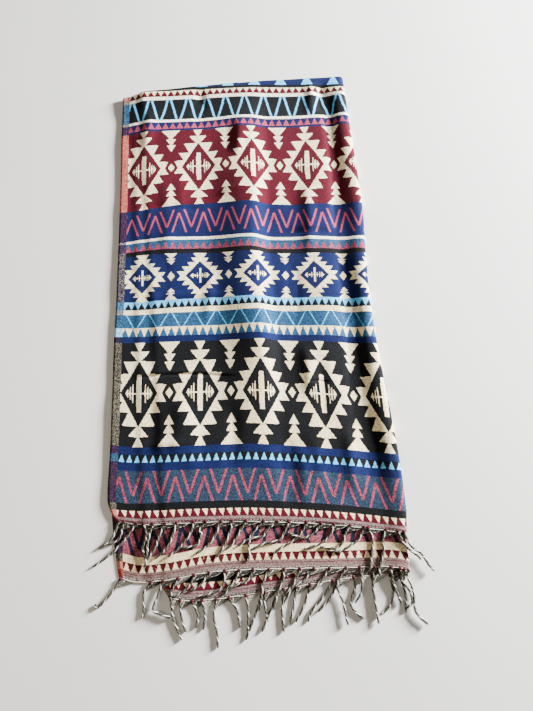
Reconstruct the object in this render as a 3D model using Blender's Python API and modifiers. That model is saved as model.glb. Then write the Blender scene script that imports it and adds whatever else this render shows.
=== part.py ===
"""Woven shawl, fringed at both ends, folded in four and laid flat.

The cloth is one length of double weave. It is folded crosswise first, so both fringed ends lie
at the front (-Y) and the crosswise fold is at the back (+Y). Its right side is then turned
under, so the lengthwise fold is on the right (+X). Counted from above, the layers are:

    1  outer half, left side, face up           4  outer half, right side, on the floor
    2  inner half, left side, reverse up        3  inner half, right side, face up

Layers 1 and 4 are one wall around the lengthwise fold, and its back end rolls in to start
layers 2 and 3. The hidden stretch of layers 2 and 3 is one rounded core. Their front ends,
which show below the first hem, are a second wall that turns inside the first.

Units are metres. The shape tables give places from the middle of the picture of the cloth, and
FOOTPRINT_CENTRE moves the whole onto the origin. The floor is z = 0.
"""
import math
from collections import namedtuple

import bmesh
import bpy
from mathutils import Vector

COLLECTION = "folded_shawl"
FOOTPRINT_CENTRE = (-0.0092, 0.0452)

# The cloth and how it packs
WALL = 0.0012
SEAM = 0.0003
PITCH = 0.0020              # from one layer's middle to the next, where the stack is pressed
FLOOR_MIDDLE = WALL / 2     # the middle of a layer that lies on the floor
RAMP = 0.014                # the width over which a layer climbs over an edge below it
RAMP_MARGIN = 0.006         # how far before that edge it has finished climbing

# The crosswise fold at the back is fuller than the stack
ROLL_PITCH = 0.0044
ROLL_DEPTH = 0.045          # how far in from the fold that fullness reaches
CORE_GAP = 0.0012           # between the core's ends and the walls that meet it
CORE_CLEAR = 0.00045        # between the core and the wall over it
CORE_FOOT = 0.00005         # the core's free left strip, just above the floor
CORE_STEP = 0.0008          # between layer 4's selvedge and the step in the core beside it
CORE_MARGIN = 0.02          # share of the run kept free of rows beside the core's ends
TUCK = 0.016                # how far the rolled-in wall runs back before the core starts

# The lengthwise fold on the right
FOLD_HEIGHT = 0.0124        # middle of layer 1 at the fold
FOLD_HEIGHT_AT_HEM = 0.0090
FOLD_SETTLES = 0.12         # distance from the hem at which the fold has its full height
FOLD_WIDTH = (0.034, 0.010)
INNER_FOLD_HEIGHT = 0.0070
INNER_FOLD_INSET = 0.0020
INNER_FOLD_SPREAD = (-0.290, -0.236)   # where it moves out to the place it has at the hem
BESIDE_FOLD = 0.17          # an X just inside both folds at the front
BEFORE_FOLD = 0.004         # how far in from the inner fold its lower layer is measured

# Sections of layer 1: distance from the first hem, left selvedge, right fold, and the place
# along Y at six stations from left to right
STATIONS = (0.0, 0.1, 0.3, 0.5, 0.75, 1.0)
Section = namedtuple("Section", "run left fold y0 y1 y3 y5 y7 y10")
SECTIONS = (
    Section(0.000, -0.1970, 0.1840, -0.2270, -0.2310, -0.2280, -0.2270, -0.2308, -0.2405),
    Section(0.012, -0.2055, 0.1843, -0.2165, -0.2190, -0.2161, -0.2150, -0.2190, -0.2285),
    Section(0.030, -0.2118, 0.1848, -0.1990, -0.2010, -0.1980, -0.1965, -0.2015, -0.2105),
    Section(0.100, -0.2135, 0.1790, -0.1280, -0.1310, -0.1290, -0.1265, -0.1320, -0.1405),
    Section(0.252, -0.2195, 0.1585, 0.0195, 0.0190, 0.0210, 0.0223, 0.0205, 0.0165),
    Section(0.315, -0.2210, 0.1520, 0.0810, 0.0810, 0.0855, 0.0868, 0.0870, 0.0855),
    Section(0.387, -0.2235, 0.1493, 0.1500, 0.1545, 0.1572, 0.1570, 0.1565, 0.1560),
    Section(0.470, -0.2265, 0.1477, 0.2275, 0.2310, 0.2400, 0.2415, 0.2390, 0.2410),
    Section(0.604, -0.2333, 0.1345, 0.3655, 0.3700, 0.3740, 0.3783, 0.3785, 0.3825),
)
BACK_FOLD = Section(None, -0.2355, 0.1265, 0.4350, 0.4425, 0.4510, 0.4590, 0.4665, 0.4715)
BACK_RUN = (0.673, 0.693)   # run from hem to crosswise fold, at the left and at the right
MIDDLE_ROW = (-0.232, 0.692)  # front end and depth along Y of layer 1, roughly

# The soft ridge along layer 1, left of the fold: its crest, and its height from front to back
Crest = namedtuple("Crest", "y x height")
RIDGE = (
    Crest(-0.200, -0.004, 0.0000),
    Crest(-0.130, -0.004, 0.0020),
    Crest(-0.050, -0.005, 0.0070),
    Crest(0.024, -0.009, 0.0110),
    Crest(0.160, -0.022, 0.0105),
    Crest(0.245, -0.024, 0.0100),
    Crest(0.385, -0.027, 0.0050),
    Crest(0.460, -0.030, 0.0010),
)
RIDGE_RISE = 0.070          # the long slope on its left
RIDGE_FALL = 0.030          # the short slope on its right
SHOULDER = (0.35, 0.085, 0.050)  # share of the height, place and half width of the low swell

# The layers below, at the front and at the back
Edge = namedtuple("Edge", "y x")
LAYER2_LEFT = (
    Edge(-0.3000, -0.1860), Edge(-0.2960, -0.1900), Edge(-0.2755, -0.1950),
    Edge(-0.2510, -0.2000), Edge(-0.1900, -0.2080), Edge(0.4300, -0.2310),
)
LAYER3_LEFT = (
    Edge(-0.3245, -0.1215), Edge(-0.3140, -0.1290), Edge(-0.3030, -0.1360),
    Edge(-0.2600, -0.1480), Edge(0.4300, -0.2080),
)
LAYER4_LEFT = (-0.119, -0.195)   # at the hem and at the back
LAYER4_SLANT = 0.10              # how much layer 4's rows drop for each metre to the left
Hem = namedtuple("Hem", "x y")
HEM2 = (
    Hem(-0.1870, -0.2985), Hem(-0.1650, -0.3033), Hem(-0.1420, -0.3020), Hem(-0.1140, -0.2980),
    Hem(-0.0860, -0.2925), Hem(-0.0540, -0.2890), Hem(-0.0060, -0.2870), Hem(0.0930, -0.2853),
    Hem(0.1340, -0.2842), Hem(0.1630, -0.2842), Hem(0.1845, -0.2877),
)
HEM3 = (
    Hem(-0.1230, -0.3223), Hem(-0.0975, -0.3246), Hem(-0.0490, -0.3211), Hem(0.0000, -0.3140),
    Hem(0.0450, -0.3070), Hem(0.0850, -0.3008), Hem(0.1300, -0.2955), Hem(0.1845, -0.2925),
)
INNER_FOLD_AT_HEM = 0.1845
OVERLAP_RUN = 0.030         # how far in from the first hem the core ends and the front ends start

# Fringe: one row for each strand, with its root along the hem, how far its tip lies to the
# right and forward, and its sideways bow
STRAND_WIDE = 0.0024
STRAND_HIGH = 0.0014
STRIP_DEEP = 0.0030
STRIP_STEP = 0.010
STRAND_STEPS = 5
LIFT = 0.00035
ROOT_LIFT = 0.00025         # the fourth hem's strip above the middle of its layer
TIP_SHARE = 0.75            # width of a strand's tip for its width elsewhere
SIDE_FADE = 0.012           # distance past a side over which a strand comes down from it
HEM_FADE = (-0.016, -0.006)  # the same in front of a hem, past its strip
CROSSING = (-0.150, -0.138)  # where the second fringe starts to lie over the third
REACH = 0.007               # how far around a strand what lies below it is looked at
Strand = namedtuple("Strand", "root right forward bow")
FRINGE1 = (
    Strand(-0.1940, -0.030, 0.024, -0.006), Strand(-0.1870, -0.033, 0.040, -0.005),
    Strand(-0.1717, -0.051, 0.055, -0.004), Strand(-0.1620, -0.012, 0.050, -0.004),
    Strand(-0.1500, -0.011, 0.057, -0.003), Strand(-0.1340, -0.014, 0.052, -0.003),
    Strand(-0.1180, -0.019, 0.050, 0.004), Strand(-0.0965, -0.029, 0.047, 0.006),
    Strand(-0.0804, -0.024, 0.036, 0.005), Strand(-0.0600, -0.033, 0.041, 0.004),
    Strand(-0.0440, -0.024, 0.043, 0.003), Strand(-0.0270, -0.028, 0.036, 0.002),
    Strand(-0.0038, -0.026, 0.045, -0.003), Strand(0.0144, -0.032, 0.038, 0.004),
    Strand(0.0297, -0.034, 0.036, 0.006), Strand(0.0528, -0.041, 0.040, 0.004),
    Strand(0.0720, -0.039, 0.030, 0.006), Strand(0.0890, -0.037, 0.034, 0.005),
    Strand(0.1100, -0.033, 0.037, 0.006), Strand(0.1270, -0.026, 0.042, 0.005),
    Strand(0.1345, 0.002, 0.046, -0.002), Strand(0.1577, -0.008, 0.046, 0.003),
    Strand(0.1700, 0.028, 0.040, 0.003), Strand(0.1765, 0.040, 0.046, 0.004),
)
FRINGE2 = (
    Strand(-0.1820, -0.036, 0.040, -0.005), Strand(-0.1486, -0.012, 0.052, -0.004),
    Strand(-0.1338, -0.010, 0.046, 0.003), Strand(-0.1140, -0.007, 0.048, -0.004),
    Strand(-0.0935, -0.020, 0.042, -0.003), Strand(-0.0746, -0.024, 0.040, 0.004),
    Strand(-0.0538, -0.030, 0.040, 0.006), Strand(-0.0355, -0.020, 0.042, 0.003),
    Strand(-0.0174, -0.026, 0.042, 0.004), Strand(0.0032, -0.012, 0.052, -0.003),
    Strand(0.0226, -0.013, 0.058, 0.002), Strand(0.0427, -0.020, 0.054, 0.003),
    Strand(0.0610, -0.024, 0.050, 0.004), Strand(0.0810, -0.022, 0.050, 0.004),
    Strand(0.1020, 0.004, 0.070, -0.008), Strand(0.1200, -0.006, 0.050, 0.005),
    Strand(0.1400, 0.005, 0.070, -0.004), Strand(0.1600, 0.010, 0.050, -0.003),
    Strand(0.1700, 0.012, 0.058, 0.003), Strand(0.1775, 0.018, 0.066, 0.004),
)
FRINGE3 = (
    Strand(-0.1180, 0.008, 0.046, -0.004), Strand(-0.1080, 0.010, 0.036, 0.003),
    Strand(-0.0950, 0.006, 0.042, 0.003), Strand(-0.0810, 0.000, 0.048, -0.003),
    Strand(-0.0640, 0.003, 0.058, 0.003), Strand(-0.0480, 0.012, 0.040, -0.003),
    Strand(-0.0260, 0.002, 0.050, 0.004), Strand(-0.0080, -0.010, 0.056, -0.004),
    Strand(0.0060, 0.003, 0.040, 0.003), Strand(0.0200, -0.006, 0.050, 0.003),
    Strand(0.0370, -0.006, 0.050, -0.003), Strand(0.0530, -0.012, 0.044, 0.003),
    Strand(0.0720, -0.014, 0.046, 0.004), Strand(0.0920, -0.014, 0.044, 0.003),
    Strand(0.1110, 0.010, 0.052, -0.006), Strand(0.1340, 0.006, 0.052, 0.004),
    Strand(0.1560, -0.008, 0.050, 0.006), Strand(0.1740, 0.010, 0.050, -0.003),
)
UNDER_FRINGE = (15, -0.108, 0.020, 0.042)   # strands, first root, spacing, length


def curve(knots, values, at):
    """Smooth curve through the values, whose slope at a knot follows the knots beside it."""
    at = min(max(at, knots[0]), knots[-1])
    i = max(k for k in range(len(knots) - 1) if knots[k] <= at)

    def slope(k):
        low, high = max(k - 1, 0), min(k + 1, len(knots) - 1)
        return (values[high] - values[low]) / (knots[high] - knots[low])

    width = knots[i + 1] - knots[i]
    s = (at - knots[i]) / width
    start = (1 + 2 * s) * (1 - s) ** 2 * values[i] + s * (1 - s) ** 2 * width * slope(i)
    end = s * s * (3 - 2 * s) * values[i + 1] + s * s * (s - 1) * width * slope(i + 1)
    return start + end


def ease(low, high, at):
    """Rises smoothly from 0 at low to 1 at high."""
    s = min(max((at - low) / (high - low), 0.0), 1.0)
    return s * s * (3 - 2 * s)


def along(table, at):
    """Reads a table of pairs, such as edges or hems, as a smooth curve."""
    return curve([row[0] for row in table], [row[1] for row in table], at)


def stations(section):
    return (section.y0, section.y1, section.y3, section.y5, section.y7, section.y10)


def back_run(across):
    return BACK_RUN[0] + (BACK_RUN[1] - BACK_RUN[0]) * across


def knots(across):
    return [section.run for section in SECTIONS] + [back_run(across)]


def left_edge(share):
    values = [section.left for section in SECTIONS] + [BACK_FOLD.left]
    return curve(knots(0.0), values, share * BACK_RUN[0])


def fold_edge(share):
    values = [section.fold for section in SECTIONS] + [BACK_FOLD.fold]
    return curve(knots(1.0), values, share * BACK_RUN[1])


def row_y(across, share):
    """Place along Y of layer 1, at a share of its width and of its run to the back fold."""
    values = [curve(STATIONS, stations(section), across) for section in SECTIONS + (BACK_FOLD,)]
    return curve(knots(across), values, share * back_run(across))


def fold_height(share):
    run = share * back_run(1.0)
    rise = FOLD_HEIGHT - FOLD_HEIGHT_AT_HEM
    return FOLD_HEIGHT_AT_HEM + rise * ease(0.0, FOLD_SETTLES, run)


def bend(share):
    """Start and radius of the lengthwise fold's half circle."""
    radius = (fold_height(share) - FLOOR_MIDDLE) / 2
    return fold_edge(share) - WALL / 2 - radius, radius


def layer4_left(share):
    return LAYER4_LEFT[0] + (LAYER4_LEFT[1] - LAYER4_LEFT[0]) * share


def layer4_y(x, share):
    """Rows of layer 4 slant down to the left, and its back end follows the back fold."""
    slanted = row_y(1.0, share) - LAYER4_SLANT * (fold_edge(share) - x)
    across = (x - left_edge(1.0)) / (fold_edge(1.0) - left_edge(1.0))
    folded = row_y(1.0, share) + row_y(across, 1.0) - row_y(1.0, 1.0)
    return slanted + (folded - slanted) * share


def share_at(y):
    return min(max((y - MIDDLE_ROW[0]) / MIDDLE_ROW[1], 0.0), 1.0)


def layer4_edge(y):
    """Place of layer 4's selvedge at a given place along Y."""
    share = share_at(y)
    for _ in range(3):
        share += (y - layer4_y(layer4_left(share), share)) / BACK_RUN[0]
        share = min(max(share, 0.0), 1.0)
    return layer4_left(share)


def fullness(share):
    """Pitch of the two layers that the back fold joins."""
    from_fold = (1.0 - share) * back_run(0.5)
    return ROLL_PITCH + (PITCH - ROLL_PITCH) * ease(0.0, ROLL_DEPTH, from_fold)


def climbed(edge, at):
    return ease(edge - RAMP_MARGIN - RAMP, edge - RAMP_MARGIN, at)


def over_layer4(x, y):
    """1 where layer 4 or its fringe lies below, and 0 where it doesn't."""
    left = layer4_edge(y)
    front = layer4_y(x, 0.0) - UNDER_FRINGE[3] - STRIP_DEEP
    return climbed(left, x) * climbed(front, y)


def over_layer3(x, y):
    left = along(LAYER3_LEFT, y)
    front = along(HEM3, x)
    return climbed(left, x) * climbed(front, y)


def ridge(x, y):
    if not RIDGE[0].y < y < RIDGE[-1].y:
        return 0.0
    ys = [crest.y for crest in RIDGE]
    height = curve(ys, [crest.height for crest in RIDGE], y)
    crest = curve(ys, [crest.x for crest in RIDGE], y)
    if x < crest:
        shape = ease(crest - RIDGE_RISE, crest, x)
    else:
        shape = 1.0 - ease(crest, crest + RIDGE_FALL, x)
    part, place, half = SHOULDER
    shape += part * ease(place - half, place, x) * (1.0 - ease(place, place + half, x))
    return max(height, 0.0) * shape


def layer3_height(x, y, share):
    return FLOOR_MIDDLE + fullness(share) * over_layer4(x, y)


def layer2_height(x, y, share):
    return layer3_height(x, y, share) + PITCH * over_layer3(x, y)


def layer1_height(x, y, share):
    level = layer2_height(x, y, share) + fullness(share) + ridge(x, y)
    fold = fold_edge(share)
    lift = ease(fold - FOLD_WIDTH[0], fold - FOLD_WIDTH[1], x)
    return level + (fold_height(share) - level) * lift


def inner_fold_edge(y):
    inside = fold_edge(share_at(y)) - INNER_FOLD_INSET
    front = ease(*INNER_FOLD_SPREAD, y)
    return INNER_FOLD_AT_HEM + (inside - INNER_FOLD_AT_HEM) * front


def inner_top_height(x, y):
    """Layer 2 in front, where it rises to the inner lengthwise fold."""
    level = layer2_height(x, y, 0.0)
    fold = inner_fold_edge(y)
    return level + (INNER_FOLD_HEIGHT - level) * ease(fold - FOLD_WIDTH[0], fold - FOLD_WIDTH[1], x)


# The points of the outer wall's U, and of the rolled-in stretch behind its back fold
TOP_COLUMNS = (0, .02, .06, .10, .14, .18, .22, .27, .32, .37, .42, .46, .49, .515, .535, .555,
               .575, .595, .615, .64, .68, .73, .78, .82, .86, .89, .92, .945, .965, .985, 1)
BEND_COLUMNS = tuple(math.pi * k / 8 for k in range(1, 9))
UNDER_COLUMNS = (.06, .2, .4, .6, .8, .94, 1)
RUN_ROWS = (0, .010, .022, .045, .08, .13, .18, .23, .28, .33, .38, .43, .48, .53, .58, .63, .68,
            .74, .80, .86, .91, .95, .98, 1)
ROLL_ROWS = tuple(math.pi * k / 6 for k in range(1, 7))
TUCK_ROWS = (0.5, 1.0)
CORE_UNDER = (0.02, 0.2, 0.4, 0.6, 0.8, 1)


def outer_section(share, inward):
    """The U of layers 1 and 4 at a share of the run, moved inward by a distance."""
    start, radius = bend(share)
    left = left_edge(share)
    points = []
    for across in TOP_COLUMNS:
        x = left + (start - left) * across
        y = row_y(across, share)
        points.append((x, y, layer1_height(x, y, share) - inward))
    middle = FLOOR_MIDDLE + radius
    y = row_y(1.0, share)
    for angle in BEND_COLUMNS:
        reach = radius - inward
        points.append((start + reach * math.sin(angle), y, middle + reach * math.cos(angle)))
    for inset in UNDER_COLUMNS:
        x = start + (layer4_left(share) - start) * inset
        points.append((x, layer4_y(x, share), FLOOR_MIDDLE + inward))
    return points


def outer_rows():
    rows = [outer_section(share, 0.0) for share in RUN_ROWS]
    radius = ROLL_PITCH / 2
    for angle in ROLL_ROWS:
        section = outer_section(1.0, radius * (1 - math.cos(angle)))
        rows.append([(x, y + radius * math.sin(angle), z) for x, y, z in section])
    for part in TUCK_ROWS:
        share = 1.0 - part * TUCK / back_run(0.5)
        rows.append(outer_section(share, fullness(share)))
    return rows


def section_y(x, share):
    start = bend(share)[0]
    left = left_edge(share)
    return row_y((x - left) / (start - left), share)


def straight_y(across, share):
    """Place along Y on the straight line between the two ends of a row."""
    return row_y(0.0, share) + (row_y(1.0, share) - row_y(0.0, share)) * across


def straight_share(across, share):
    """Share of the run at which a column meets that straight line."""
    found = share
    for _ in range(3):
        found += (straight_y(across, share) - row_y(across, found)) / back_run(0.5)
    return found


def core_section(share, cut_straight):
    """Closed outline of the hidden stretch of layers 2 and 3, clear of the wall around it."""
    clear = WALL / 2 + CORE_CLEAR
    start, radius = bend(share)
    left = left_edge(share)

    def y_at(across):
        return straight_y(across, share) if cut_straight else row_y(across, share)

    points = []
    for across in TOP_COLUMNS[1:]:
        x = left + (start - left) * across
        y = y_at(across)
        level = straight_share(across, share) if cut_straight else share
        points.append((x, y, layer1_height(x, y, level) - clear))
    middle = FLOOR_MIDDLE + radius
    for angle in BEND_COLUMNS[1:-1:2]:
        reach = radius - clear - SEAM
        points.append((start + reach * math.sin(angle), y_at(1.0), middle + reach * math.cos(angle)))
    step = layer4_left(share)
    for _ in range(3):
        step = layer4_edge(y_at((step - left) / (start - left))) - CORE_STEP
    inside = points[0][0]
    under = [(start + (step - start) * part, WALL + SEAM) for part in CORE_UNDER]
    under += [(step, CORE_FOOT), ((step + inside) / 2, CORE_FOOT), (inside, CORE_FOOT)]
    for x, z in under:
        points.append((x, y_at((x - left) / (start - left)), z))
    return points


def core_rows():
    front = OVERLAP_RUN / back_run(0.5)
    back = 1.0 - (TUCK + CORE_GAP) / back_run(0.5)
    inner = [share for share in RUN_ROWS if front + CORE_MARGIN < share < back - CORE_MARGIN]
    rows = [core_section(share, False) for share in inner]
    return [core_section(front, True)] + rows + [core_section(back, True)]


FRONT_COLUMNS = (0, .03, .06, .09, .12, .15, .18, .23, .28, .34, .42, .5, .58, .66, .74, .82, .88,
                 .92, .95, .975, 1)
FRONT_BEND = tuple(math.pi * k / 6 for k in range(1, 7))
FRONT_UNDER = (.025, .05, .08, .12, .18, .26, .34, .42, .5, .58, .66, .74, .82, .88, .93, .97, 1)
FRONT_ROWS = (0, .18, .36, .54, .7, .82, .92, .97, 1)


def front_start(x):
    """Where the front ends begin, under the first hem, just clear of the core."""
    share = OVERLAP_RUN / back_run(0.5)
    left = left_edge(share)
    return straight_y((x - left) / (bend(share)[0] - left), share) - CORE_GAP


def front_section(part):
    """The U of layers 2 and 3 at a part of the way from under the first hem to their hems."""
    points = []
    fold_y = front_start(BESIDE_FOLD) + (HEM2[-1].y - front_start(BESIDE_FOLD)) * part
    fold = inner_fold_edge(fold_y)
    low = layer3_height(fold - BEFORE_FOLD, fold_y, 0.0)
    radius = (INNER_FOLD_HEIGHT - low) / 2
    start = fold - WALL / 2 - radius
    for across in FRONT_COLUMNS:
        y = fold_y
        for _ in range(3):
            left = along(LAYER2_LEFT, y)
            x = left + (start - left) * across
            y = front_start(x) + (along(HEM2, x) - front_start(x)) * part
        points.append((x, y, inner_top_height(x, y)))
    for angle in FRONT_BEND:
        turned = fold_y + (HEM3[-1].y - HEM2[-1].y) * part * angle / math.pi
        points.append((start + radius * math.sin(angle), turned,
                       low + radius + radius * math.cos(angle)))
    for inset in FRONT_UNDER:
        y = fold_y
        for _ in range(3):
            left = along(LAYER3_LEFT, y)
            x = start + (left - start) * inset
            y = front_start(x) + (along(HEM3, x) - front_start(x)) * part
        points.append((x, y, layer3_height(x, y, 0.0)))
    return points


def front_rows():
    return [front_section(part) for part in FRONT_ROWS]


def grid_mesh(rows):
    """A grid moved onto rows of points, each as long as the first."""
    across, along_rows = len(rows[0]), len(rows)
    mesh = bmesh.new()
    bmesh.ops.create_grid(mesh, x_segments=across - 1, y_segments=along_rows - 1, size=1.0)
    for vertex in mesh.verts:
        i = round((vertex.co.x + 1) / 2 * (across - 1))
        j = round((vertex.co.y + 1) / 2 * (along_rows - 1))
        x, y, z = rows[j][i]
        vertex.co = (x - FOOTPRINT_CENTRE[0], y - FOOTPRINT_CENTRE[1], z)
    return mesh


def sleeve_mesh(rows):
    """A closed bar through rows of outlines, capped at both ends."""
    mesh = grid_mesh([row + row[:1] for row in rows])
    bmesh.ops.remove_doubles(mesh, verts=mesh.verts, dist=0.000002)
    ends = [edge for edge in mesh.edges if edge.is_boundary]
    bmesh.ops.holes_fill(mesh, edges=ends, sides=0)
    bmesh.ops.recalc_face_normals(mesh, faces=mesh.faces)
    return mesh


def material(name, colour, roughness):
    made = bpy.data.materials.new(name)
    made.use_nodes = True
    shader = made.node_tree.nodes["Principled BSDF"]
    shader.inputs["Base Color"].default_value = (*colour, 1.0)
    shader.inputs["Roughness"].default_value = roughness
    shader.inputs["Metallic"].default_value = 0.0
    return made


def place(name, mesh, finish, collection):
    data = bpy.data.meshes.new(name)
    mesh.to_mesh(data)
    mesh.free()
    data.materials.append(finish)
    thing = bpy.data.objects.new(name, data)
    collection.objects.link(thing)
    return thing


def wall(name, rows, finish, collection):
    """A sheet through the rows, thickened evenly to both sides."""
    mesh = grid_mesh(rows)
    bmesh.ops.recalc_face_normals(mesh, faces=mesh.faces)
    thing = place(name, mesh, finish, collection)
    thick = thing.modifiers.new("cloth thickness", "SOLIDIFY")
    thick.thickness = WALL
    thick.offset = 0.0
    thick.use_even_offset = True
    return thing


def hem1_y(x):
    return section_y(x, 0.0)


def hem4_y(x):
    return layer4_y(x, 0.0)


def level1(x):
    return layer1_height(x, hem1_y(x), 0.0)


def level2(x):
    return max(inner_top_height(x, along(HEM2, x)), STRAND_HIGH)


def level3(x):
    return max(layer3_height(x, along(HEM3, x), 0.0), STRAND_HIGH)


def level4(x):
    return FLOOR_MIDDLE + ROOT_LIFT


def on_floor(x, y):
    return LIFT + STRAND_HIGH / 2


def on_layer2(x, y):
    """Height at which a strand of the first hem lies over the second hem and its roots."""
    inside = ease(-SIDE_FADE, 0.0, x - along(LAYER2_LEFT, y))
    inside *= ease(SIDE_FADE, 0.0, x - INNER_FOLD_AT_HEM)
    inside *= ease(*HEM_FADE, y - along(HEM2, x))
    over = inner_top_height(x, y) + WALL / 2 + LIFT + STRAND_HIGH / 2
    return over * inside + on_layer3(x, y) * (1 - inside)


def on_layer3(x, y):
    """Height of a strand of the second hem, over layer 3 and then over the third fringe."""
    inside = ease(-SIDE_FADE, 0.0, x - along(LAYER3_LEFT, y))
    inside *= ease(*HEM_FADE, y - along(HEM3, x))
    over = layer3_height(x, y, 0.0) + WALL / 2 + 2 * LIFT + STRAND_HIGH / 2
    crossing = on_floor(x, y) + (STRAND_HIGH + 2 * LIFT) * ease(*CROSSING, x)
    return max(over * inside, crossing)


def above(rest, x, y):
    """The greatest resting height close around a place, so a strand clears what it crosses."""
    around = [(x, y)] + [(x + REACH * math.cos(k * math.pi / 4), y + REACH * math.sin(k * math.pi / 4))
                         for k in range(8)]
    return max(rest(a, b) for a, b in around)


def strand_route(strand, root, rest):
    """Stations of a strand: place, direction across and height, from its root to its tip."""
    right, forward, bow = strand.right, -strand.forward, strand.bow
    length = math.hypot(right, forward)
    side = (-forward / length, right / length)
    route = []
    for step in range(1, STRAND_STEPS + 1):
        s = step / STRAND_STEPS
        sway = bow * math.sin(math.pi * s)
        x = root[0] + right * s + side[0] * sway
        y = root[1] + forward * s + side[1] * sway
        turn = bow * math.pi * math.cos(math.pi * s) / length
        heading = (right / length + side[0] * turn, forward / length + side[1] * turn)
        size = math.hypot(*heading)
        across = (-heading[1] / size, heading[0] / size)
        low = above(rest, x, y)
        z = root[2] + (low - root[2]) * ease(0.0, 0.4, s)
        route.append((x, y, max(z, low), across))
    return route


def extrude_strand(mesh, face, route):
    """Draws a strip's front face out along a route, keeping its width across the strand."""
    middle = face.calc_center_median()
    sides = [(vertex.co.x > middle.x, vertex.co.z > middle.z) for vertex in face.verts]
    for step, (x, y, z, across) in enumerate(route):
        face = bmesh.ops.extrude_discrete_faces(mesh, faces=[face])["faces"][0]
        narrow = TIP_SHARE if step == len(route) - 1 else 1.0
        for vertex, (is_right, is_up) in zip(face.verts, sides):
            half = STRAND_WIDE / 2 * narrow * (1 if is_right else -1)
            rise = STRAND_HIGH / 2 * narrow * (1 if is_up else -1)
            vertex.co = (x + across[0] * half - FOOTPRINT_CENTRE[0],
                         y + across[1] * half - FOOTPRINT_CENTRE[1], z + rise)


def strip_places(strands, ends):
    """Places along a strip: both sides of each root, its ends, and enough between to curve."""
    half = STRAND_WIDE / 2
    roots = [strand.root + side for strand in strands for side in (-half, half)]
    marks = sorted([ends[0], ends[1]] + roots)
    places = []
    for start, end in zip(marks, marks[1:]):
        count = math.ceil((end - start) / STRIP_STEP)
        places += [start + (end - start) * k / count for k in range(count)]
    return places + [marks[-1]]


def fringe(name, strands, ends, hem, level, rest, finish, collection):
    """A narrow strip along a hem, with a strand drawn out of it at each root."""
    rows = []
    for x in strip_places(strands, ends):
        back = hem(x) - SEAM
        low, high = level(x) - STRAND_HIGH / 2, level(x) + STRAND_HIGH / 2
        rows.append([(x, back, low), (x, back, high), (x, back - STRIP_DEEP, high),
                     (x, back - STRIP_DEEP, low)])
    mesh = sleeve_mesh(rows)
    mesh.faces.ensure_lookup_table()
    for strand in strands:
        root = (strand.root, hem(strand.root) - SEAM - STRIP_DEEP, level(strand.root))
        target = (root[0] - FOOTPRINT_CENTRE[0], root[1] - FOOTPRINT_CENTRE[1], root[2])
        face = min(mesh.faces, key=lambda f: (f.calc_center_median() - Vector(target)).length)
        extrude_strand(mesh, face, strand_route(strand, root, rest))
    bmesh.ops.recalc_face_normals(mesh, faces=mesh.faces)
    return place(name, mesh, finish, collection)


def under_strands():
    count, first, spacing, length = UNDER_FRINGE
    return [Strand(first + spacing * k, -0.003, length, 0.0) for k in range(count)]


def main():
    for thing in list(bpy.data.objects):
        bpy.data.objects.remove(thing)
    collection = bpy.data.collections.new(COLLECTION)
    bpy.context.scene.collection.children.link(collection)

    face = material("woven face", (0.16, 0.06, 0.09), 0.9)
    reverse = material("woven reverse", (0.50, 0.20, 0.22), 0.9)
    hidden = material("hidden layers", (0.12, 0.12, 0.14), 0.9)
    yarn = material("fringe yarn", (0.28, 0.27, 0.24), 0.95)

    wall("outer_half", outer_rows(), face, collection)
    place("inner_half_core", sleeve_mesh(core_rows()), hidden, collection)
    wall("inner_half_ends", front_rows(), reverse, collection)

    fringe("fringe_first_hem", FRINGE1, (-0.1960, 0.1785), hem1_y, level1, on_layer2,
           yarn, collection)
    fringe("fringe_second_hem", FRINGE2, (-0.1850, 0.1800),
           lambda x: along(HEM2, x), level2, on_layer3, yarn, collection)
    fringe("fringe_third_hem", FRINGE3, (-0.1210, 0.1790),
           lambda x: along(HEM3, x), level3, on_floor, yarn, collection)
    fringe("fringe_fourth_hem", under_strands(), (-0.1160, 0.1760), hem4_y, level4, on_floor,
           yarn, collection)


main()
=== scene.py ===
"""Dresses the folded shawl: woven cloth on both sides, twined hems, knots and twisted fringe.

The shawl is one length of jacquard double weave, folded in four. Its outer half is layers 1 and 4
around the lengthwise fold, and its inner half is layers 2 and 3 inside that. Places are worked out
from the middle of the picture of the cloth, in metres, and Drape.centre moves them to the frame.
"""

import logging
import math
from dataclasses import dataclass, field
from enum import Enum, IntEnum
from typing import Callable, Mapping, NamedTuple, Sequence

import bmesh
import bpy
import numpy as np
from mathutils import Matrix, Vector


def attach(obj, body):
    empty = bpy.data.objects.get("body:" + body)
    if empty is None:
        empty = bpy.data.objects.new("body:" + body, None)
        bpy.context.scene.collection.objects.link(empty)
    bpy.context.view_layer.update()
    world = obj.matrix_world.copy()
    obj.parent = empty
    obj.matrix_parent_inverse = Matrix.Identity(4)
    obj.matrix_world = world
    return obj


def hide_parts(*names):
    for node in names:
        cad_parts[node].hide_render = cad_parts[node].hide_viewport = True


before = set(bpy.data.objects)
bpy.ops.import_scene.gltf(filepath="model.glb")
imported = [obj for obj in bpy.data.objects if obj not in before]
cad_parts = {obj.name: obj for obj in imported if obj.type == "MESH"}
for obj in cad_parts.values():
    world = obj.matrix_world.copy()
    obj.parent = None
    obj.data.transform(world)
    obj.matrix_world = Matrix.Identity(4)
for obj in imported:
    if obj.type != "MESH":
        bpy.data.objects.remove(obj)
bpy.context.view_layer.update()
LOG = logging.getLogger("shawl")
CLOTH_MAP = "cloth"

Array = np.ndarray
Pair = tuple[float, float]
Triple = tuple[float, float, float]
Paint = tuple[float, float, float, float]
Heights = Callable[[Array, Array], Array]
Table = Sequence[Pair]


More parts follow.
